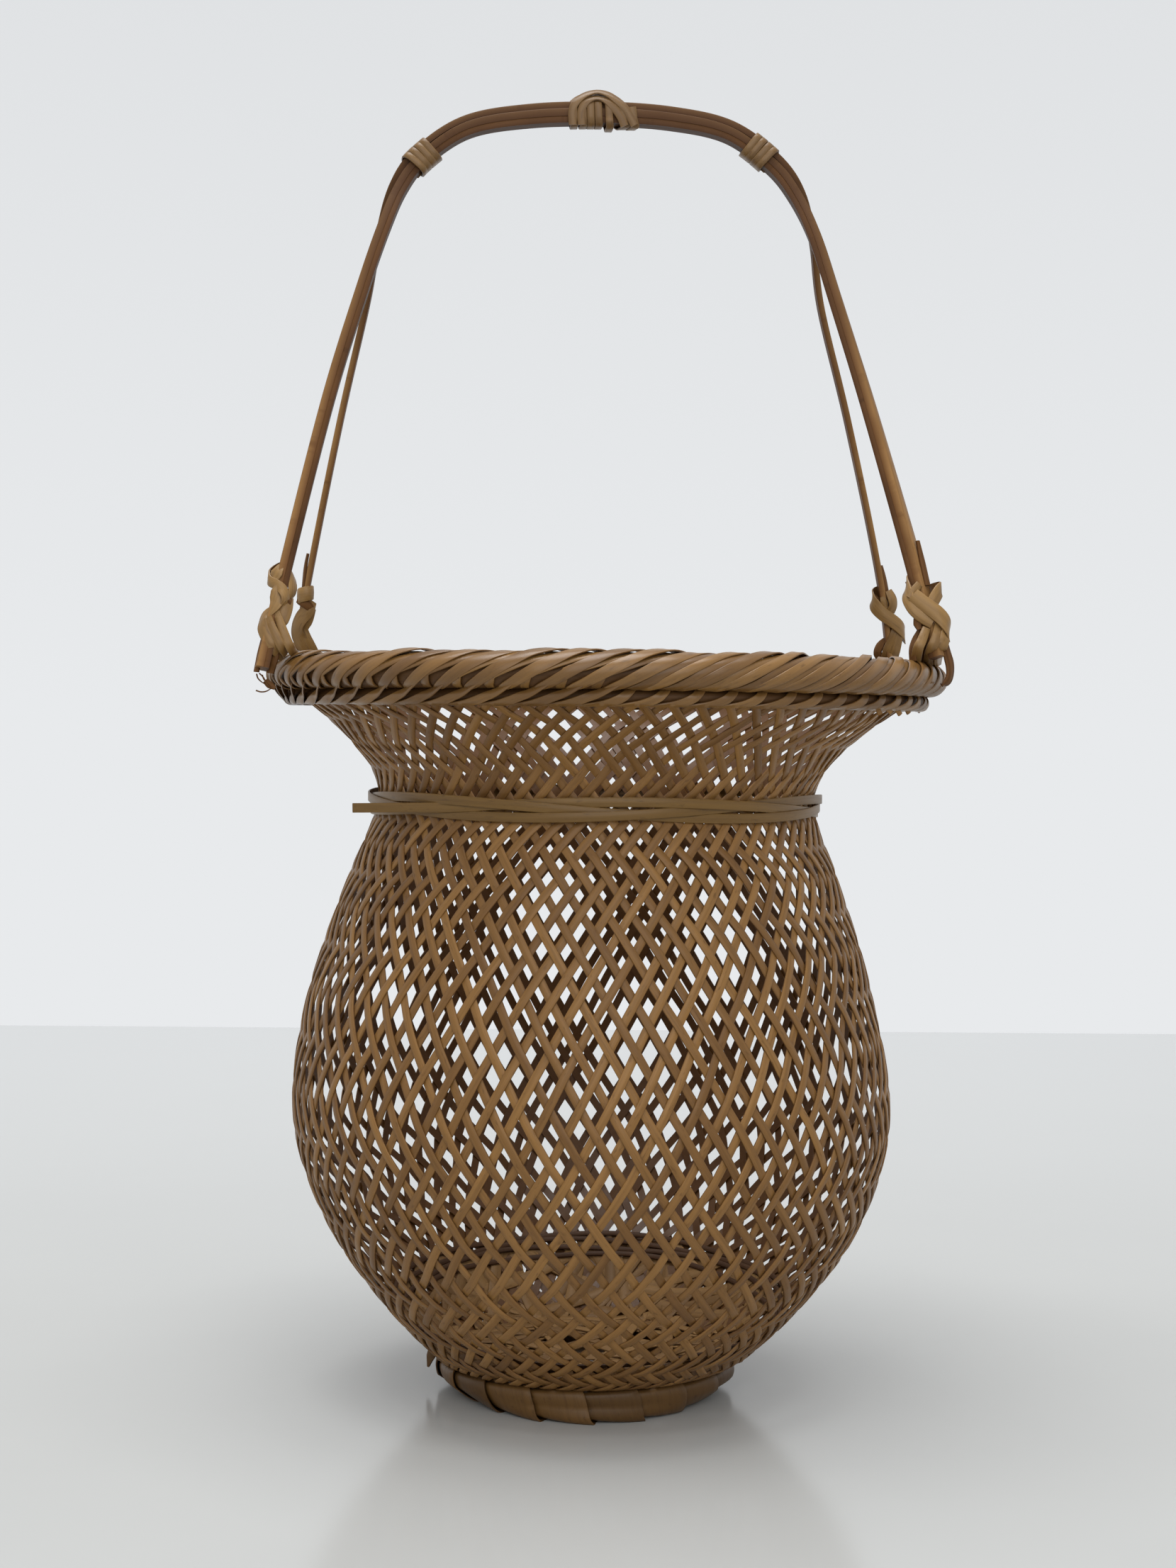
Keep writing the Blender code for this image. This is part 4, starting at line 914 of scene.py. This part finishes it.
# ankles: each strip as its width, its share of width along it and its knots, as they are seen
ankles = {
    "front_left": (
        (3.2, (1, 1), ((404, 798, 2.6, 170), (393, 802, 2, -140), (381, 810, 0.6, -95),
         (380, 819, -1.4, -60), (389, 824, -2.9, -20), (398, 831, -3.3, 20), (402.5, 841, -3.2, 45),
         (401.5, 852, -2.6, 55), (396, 862, -1.2, 60))),
        (4.2, (0.5, 1, 0.9), ((397, 798, -2.4, -20), (391, 807, -2.9, -30), (386, 816, -2.4, -45))),
        (3.4, (1, 1), ((403, 806, 2.6, 170), (412, 810, 1, 70), (413, 824, -1.2, 45), (412, 838, -1, 60),
         (408, 850, 0.6, 90), (401, 856, 2, 150))),
        (5, (0.75, 1.05, 1, 0.65, 0.1), ((396, 828, -2.6, 20), (392.5, 843, -3.1, -5),
         (387, 857, -3.2, -20), (377, 872, -2.6, -30))),
        (3.9, (0.9, 1, 1, 0.6), ((407, 842, -1.2, 30), (404, 858, -2.2, 15), (399, 873, -2.3),
         (390, 888, -1.6, -20))),
        (3.7, (0.8, 0.9, 1, 1, 1), ((389, 861, -2, -20), (379, 865, -1.9, -40), (371.5, 873, -1.9, -50),
         (371, 886, -2.7, -20), (377, 900, -3, -5), (385, 911, -2.6, 5), (393, 920, 0, 10),
         (399, 925, 5, 15))),
        (2.8, (0.7, 1, 1), ((379, 870, -3.2, -15), (384, 884, -3.5, -5), (391, 900, -3.3, 5),
         (398, 914, -2, 10), (404, 922, 3, 15))),
        (2.8, (0.7, 1, 1), ((390, 862, -2.8, -10), (396, 880, -3, 5), (403, 899, -2.8, 10),
         (410, 914, -1.6, 15), (416, 923, 4, 20))),
    ),
    "back_left": (
        (4.4, (0.8, 1.1, 1.1, 0.8), ((434, 835, 2.6, 175), (441.5, 836, 0.4, 95), (437, 836.5, -1.9, 30),
         (430, 838, -2.5), (423, 840, -1.8, -40), (420.5, 843, 0.2, -90), (427, 848, 2.2, -170))),
        (4.8, (0.7, 1, 1, 1, 1), ((441, 848, -1, 40), (434, 861, -2.4, 10), (425, 872, -2.6, -20),
         (419.5, 884, -2.2, -35), (421, 897, -2, -20), (428, 909, -2), (435, 918, -1.4, 10),
         (441, 925, 0.2, 15))),
        (3.8, (0.8, 1, 0.7), ((440, 858, -0.6, 30), (435, 872, -1.6, 15), (428, 886, -1.6),
         (424, 900, -1.2, -10))),
        (2.8, (0.8, 1, 1), ((428, 884, -1.6), (434, 900, -1.8, 10), (441, 914, -1.2, 15),
         (448, 928, 0.4, 20))),
    ),
    "back_right": (
        (4.4, (1, 1, 1, 1), ((1246, 834, 2.4, 175), (1235, 838, 1.4, -140), (1231.5, 846, -0.6, -80),
         (1236, 857, -2.3, -30), (1246, 867, -2.9, -5), (1258, 875, -2.9, 10), (1269, 884, -2.2, 35),
         (1275, 894, -0.2, 80), (1272, 902, 1.8, 140))),
        (3.4, (0.7, 1, 0.9), ((1253, 833, -1.6, 10), (1258.5, 844, -2.4, 25), (1260, 854, -2.4, 30),
         (1256, 864, -2, 20))),
        (2.6, (0.6, 1, 0.6), ((1244, 842, -2), (1247, 850, -2.3), (1249, 861, -2.2))),
        (5.2, (0.7, 0.9, 1.1, 1.15), ((1267, 882, -1, 20), (1265, 894, -2, 10), (1261, 908, -2.2, 5),
         (1257, 920, -2), (1254, 932, 0))),
    ),
    "front_right": (
        (4, (1, 1, 1), ((1293, 818, 2.8, 175), (1281.5, 820, 1.4, -120), (1279.5, 832, -1.2, -60),
         (1282, 846, -2.8, -20), (1290, 860, -3.2), (1302, 870, -3.2, 5), (1316, 878, -2.8, 15))),
        (2.6, (0.8, 1, 0.9), ((1283, 844, -3.2), (1289, 834, -3.2), (1297, 824, -2.8, 10))),
        (4.1, (0.9, 1, 1, 1), ((1309, 864, -3.2), (1316, 849, -3.5), (1324, 835, -2.6, 25),
         (1326.5, 830, -0.6, 80), (1318, 832, 1.6, 150), (1308, 836, 2.6, 175))),
        (4.8, (0.9, 1, 1, 1, 0.9), ((1288, 839, -3.6), (1299, 848, -4), (1311, 857, -4.1, 5),
         (1323, 866, -3.8, 15), (1333, 877, -2.8, 35), (1337.5, 890, -1, 70), (1337, 903, 0.8, 95))),
        (3.2, (0.8, 1, 1), ((1307, 886, -2.2), (1301, 902, -2.9, -5), (1295, 916, -2.2, -5),
         (1290, 940, 4))),
        (3.4, (0.7, 1, 1), ((1324, 880, -2, 10), (1320, 900, -3, 5), (1313, 918, -0.5),
         (1308, 940, 12))),
        (3.8, (0.9, 1, 1), ((1334, 888, -1, 40), (1332, 903, -2.2, 20), (1326, 920, 1.5, 5),
         (1320, 940, 20))),
    ),
}


# short dark slips beside the legs, and dark strips of painted shade: the hollows inside the lashings' loops
# and the gaps behind the lashings
slipsAndShadeStrips = {
    "front_left": (
        (1.9, (0.7, 1, 1), ((372, 898, -0.6, -40), (367, 920, -0.6, -40), (361.5, 948, -0.4, -40))),
        (2.6, (0.6, 1, 0.6), ((404, 842, -2.4, 60), (410, 850, -1, 70), (411, 858, 0.2, 80))),
        # partly painted shade: a dark strip beside the leg's end, where the roll meets it
        (3.8, (0.8, 1, 0.6), ((388, 903, 0.2, -20), (385, 925, 0.6, -20), (381, 950, 0.9, -20))),
    ),
    "back_left": (
        (1.6, (0.5, 1, 1), ((434.5, 781, -0.8, -60), (431, 800, -0.8, -60), (428, 832, -0.8, -60))),
        # painted shade: the hollow inside the loop
        (3, (0.7, 1, 1, 0.5), ((420, 846, -1, -30), (428, 850, -2.2), (437, 857, -2, 20),
         (441, 868, -0.8, 40))),
    ),
    "back_right": (
        (2, (0.5, 1, 1), ((1243, 798, -0.6, 50), (1247, 815, -0.6, 50), (1252, 842, -0.8, 50))),
        (3.2, (0.3, 1, 1, 0.5), ((1250, 900, 0.6, -40), (1243, 909, 0.4, -50), (1238, 919, 0.4, -50),
         (1240, 931, 0.6, -30))),
        (2, (0.7, 1, 0.7), ((1233, 841, 0.2, -20), (1237, 846, -0.2, -10), (1240, 851, -0.6))),
        # painted shade: dark backing strips in the gaps behind the lashing
        (4.2, (0.6, 1, 0.8), ((1250, 838, 0.5), (1253, 850, 0.5), (1254, 864, 0.5))),
        (4.6, (0.8, 1, 1), ((1252, 868, 0.3), (1257, 890, 0.3), (1258, 914, 0.6))),
    ),
    "front_right": (
        (2, (0.6, 1, 1), ((1294.5, 763, -0.8, 30), (1300.5, 790, -0.8, 30), (1308.5, 826, -0.9, 30))),
        (2.4, (0.5, 1, 1), ((1297, 889, 0.4, -50), (1290, 903, 0.2, -50), (1287, 917, 0.2, -50),
         (1288, 932, 0.6, -40))),
        (2.2, (0.8, 1, 0.8), ((1281, 820, 0.6, -20), (1284, 827, 0, -10), (1286, 834, -1.6))),
        (2.4, (0.6, 1, 0.6), ((1292, 872, -2, -20), (1294, 880, -2, -10), (1297, 888, -1.8))),
        (3.4, (0.7, 1, 1, 1, 0.9), ((1332, 904, 2, 30), (1336, 921, 1.6, 35), (1340, 938, 1, 40),
         (1340, 953, 0.6, 50), (1336, 962, 0.4, 60), (1328, 967, 0.6, 90))),
        # painted shade: dark backing strips in the gaps behind the lashing
        (4, (0.7, 1, 1), ((1303, 872, 0.6), (1303, 900, 0.9), (1301, 920, 4), (1299, 940, 10))),
        (5.4, (0.7, 1, 0.9), ((1309, 862, 0.4), (1315, 885, 0.6), (1315, 915, 4), (1313, 940, 18))),
    ),
}


# how far to the back the middle of a leg is at a row of the picture, in mm
def legBehind(corner, row):
    places = (frontPath if corner.startswith("front") else backPath)[0]
    places = places[places[:, 0] < 0] if corner.endswith("left") else places[places[:, 0] > 0]
    order = np.argsort(places[:, 2])
    y = 0.0
    for i in range(3):
        z = seen(view["frame"][0] / 2, row, y * mm).z
        y = float(np.interp(z, places[order, 2], places[order, 1])) / mm
    return y


# the same for the outer side of the rim's lower ring, at its front
def ringBehind(column, row):
    y = 0.0
    for i in range(4):
        x = seen(column, row, y * mm).x / mm - sideShift(0.218) / mm
        y = -math.sqrt(max((rim["ringRadius"] + 1) ** 2 - x**2, 0))
    return y


def layTraced(width, shares, knots, where, thickness=0.5):
    strip = flatStrip(width, thickness, 50, acrossSteps=2, crown=0.12)
    places = []
    for knot in knots:
        behind = 0.0
        if where == "ring":
            behind = ringBehind(*knot[:2])
        elif where != "middle":
            behind = legBehind(where, min(knot[1], 935))  # the legs end at this row
        places.append(seenKnot(behind, *knot))
    laid = layKnots(strip, places, 50, widths=shares)
    discard(strip)
    return laid


# the strips of a corner's lashing, or of its slips and painted-shade strips, as one piece
def lashCorner(table, corner, thickness, word, material, node):
    made = [layTraced(*strip, corner, thickness) for strip in table[corner]]
    name = word + "".join(part.capitalize() for part in corner.split("_"))
    return finishPiece(made, name, material, [f"{node}_{corner}"])


for corner in ankles:
    lashCorner(ankles, corner, 0.5, "ankle", knotBamboo, "ankle_lashing")
    # the spur pieces hold the legs' slips and the dark strips of painted shade
    lashCorner(slipsAndShadeStrips, corner, 0.7, "spur", liningBamboo, "leg_spur")
print("legs lashed")

buildFoot()
print("foot wound")

# loose ends: clipped splints under the rim at the right, and torn fibres at the left
looseEnds = {
    "clipped": (
        (1250, 997, 1257, 1005), (1264, 998, 1270, 1008), (1277, 995, 1282, 1006), (1289, 992, 1297, 1003),
        (1298, 989, 1306, 999), (1238, 999, 1242, 1008),
    ),
    "fibres": (
        ((362, 951, 0), (364, 957, -1), (369, 962, -1), (374, 965, 0)),
        ((361, 974, -2), (368, 976, -2), (376, 975, -1), (384, 970, 1)),
        ((370, 952, 0), (372, 958, 0), (376, 963, 1)),
        ((366, 950, 0), (371, 955, -1), (378, 966, 0), (384, 972, 1)),
    ),
    "stub": ((374, 960, 1), (380, 966, 1), (388, 971, 1)),
}


def buildLooseEnds():
    made = []
    for x0, y0, x1, y1 in looseEnds["clipped"]:
        knots = ((x0 - 4, y0 - 8, 2.5), (x0, y0, 0.8), (x1, y1, -0.4, 10))
        made.append(layTraced(1.5, (1, 1), knots, "ring"))
    finishPiece(made, "clippedEnds", wallBamboo, [])
    fibres = []
    for knots in looseEnds["fibres"]:
        fibres.append(layTraced(0.45, (1, 0.9, 0.5), knots, "front_left", 0.3))
    fibres.append(layTraced(2.2, (0.8, 1, 0.5), looseEnds["stub"], "front_left", 0.6))
    return finishPiece(fibres, "tornFibres", liningBamboo, [])


buildLooseEnds()
print("loose ends laid")


# stage, light and camera
def buildStage():
    deselectAll()
    bpy.ops.mesh.primitive_plane_add(size=1.854, location=(0, 0, 0))
    floor = bpy.context.object
    floor.name = "floor"
    stone, tree, shader = newMaterial("paleStone")
    place = addNode(tree, "TexCoord").outputs["Object"]
    cloud = addNode(tree, "TexNoise", {"Vector": place, "Scale": 5, "Detail": 5})
    colour = mixed(tree, cloud.outputs["Fac"], srgb(187, 188, 186), srgb(197, 198, 196))
    # painted light: it is lighter towards the back, where it fades into the pale wall
    share = ranged(tree, coordinate(tree, "Object", "Y"), 0.1, 0.9)
    colour = mixed(tree, share, colour, srgb(226, 228, 228))
    feed(tree, shader, {"Base Color": colour, "Roughness": 0.16, "Specular IOR Level": 0.27})
    floor.data.materials.append(stone)


lamps = (
    # name, place, what it points at, size in metres, power in watts
    ("ceilingSoftbox", (-0.1, -0.1, 1.5), (0, 0, 0.2), (0.9, 0.8), 14),
    ("windowSoftbox", (0.1, -1.4, 0.9), (0, 0, 0.2), (1.6, 1.2), 8.5),
)


def addSoftbox(name, place, aim, size, power):
    data = bpy.data.lights.new(name, "AREA")
    data.shape = "RECTANGLE"
    data.size, data.size_y = size
    data.energy = power
    lamp = addObject(name, data)
    lamp.location = place
    lamp.rotation_euler = (Vector(aim) - Vector(place)).to_track_quat("-Z", "Y").to_euler()


def lightScene():
    world = bpy.data.worlds.new("paleRoom")
    bpy.context.scene.world = world
    world.use_nodes = True
    tree = world.node_tree
    tree.nodes.clear()
    rise = ranged(tree, coordinate(tree, "Generated", "Z"), high=0.28)
    room = mixed(tree, rise, srgb(232, 234, 236), srgb(224, 226, 228))
    shown = addNode(tree, "Background", {"Color": room})
    light = addNode(tree, "Background", {"Color": (0.97, 0.985, 1.0, 1), "Strength": 0.55})
    # the camera, gloss and glass see the pale room
    rays = addNode(tree, "LightPath").outputs
    share = reckoned(tree, "MAXIMUM", rays["Is Camera Ray"], rays["Is Glossy Ray"])
    share = reckoned(tree, "MAXIMUM", share, rays["Is Transmission Ray"])
    inputs = {"Fac": share, 1: light.outputs[0], 2: shown.outputs[0]}
    surface = addNode(tree, "MixShader", inputs).outputs[0]
    addNode(tree, "OutputWorld", {"Surface": surface})
    for lamp in lamps:
        addSoftbox(*lamp)


def placeCamera():
    data = bpy.data.cameras.new("camera")
    data.sensor_width = view["sensor"]
    data.lens = view["lens"]
    data.clip_start = 0.01
    camera = addObject("camera", data)
    camera.matrix_world = cameraMatrix()
    bpy.context.scene.camera = camera


buildStage()
lightScene()
placeCamera()
bpy.context.scene.view_settings.view_transform = "Standard"
print("stage, light and camera set")
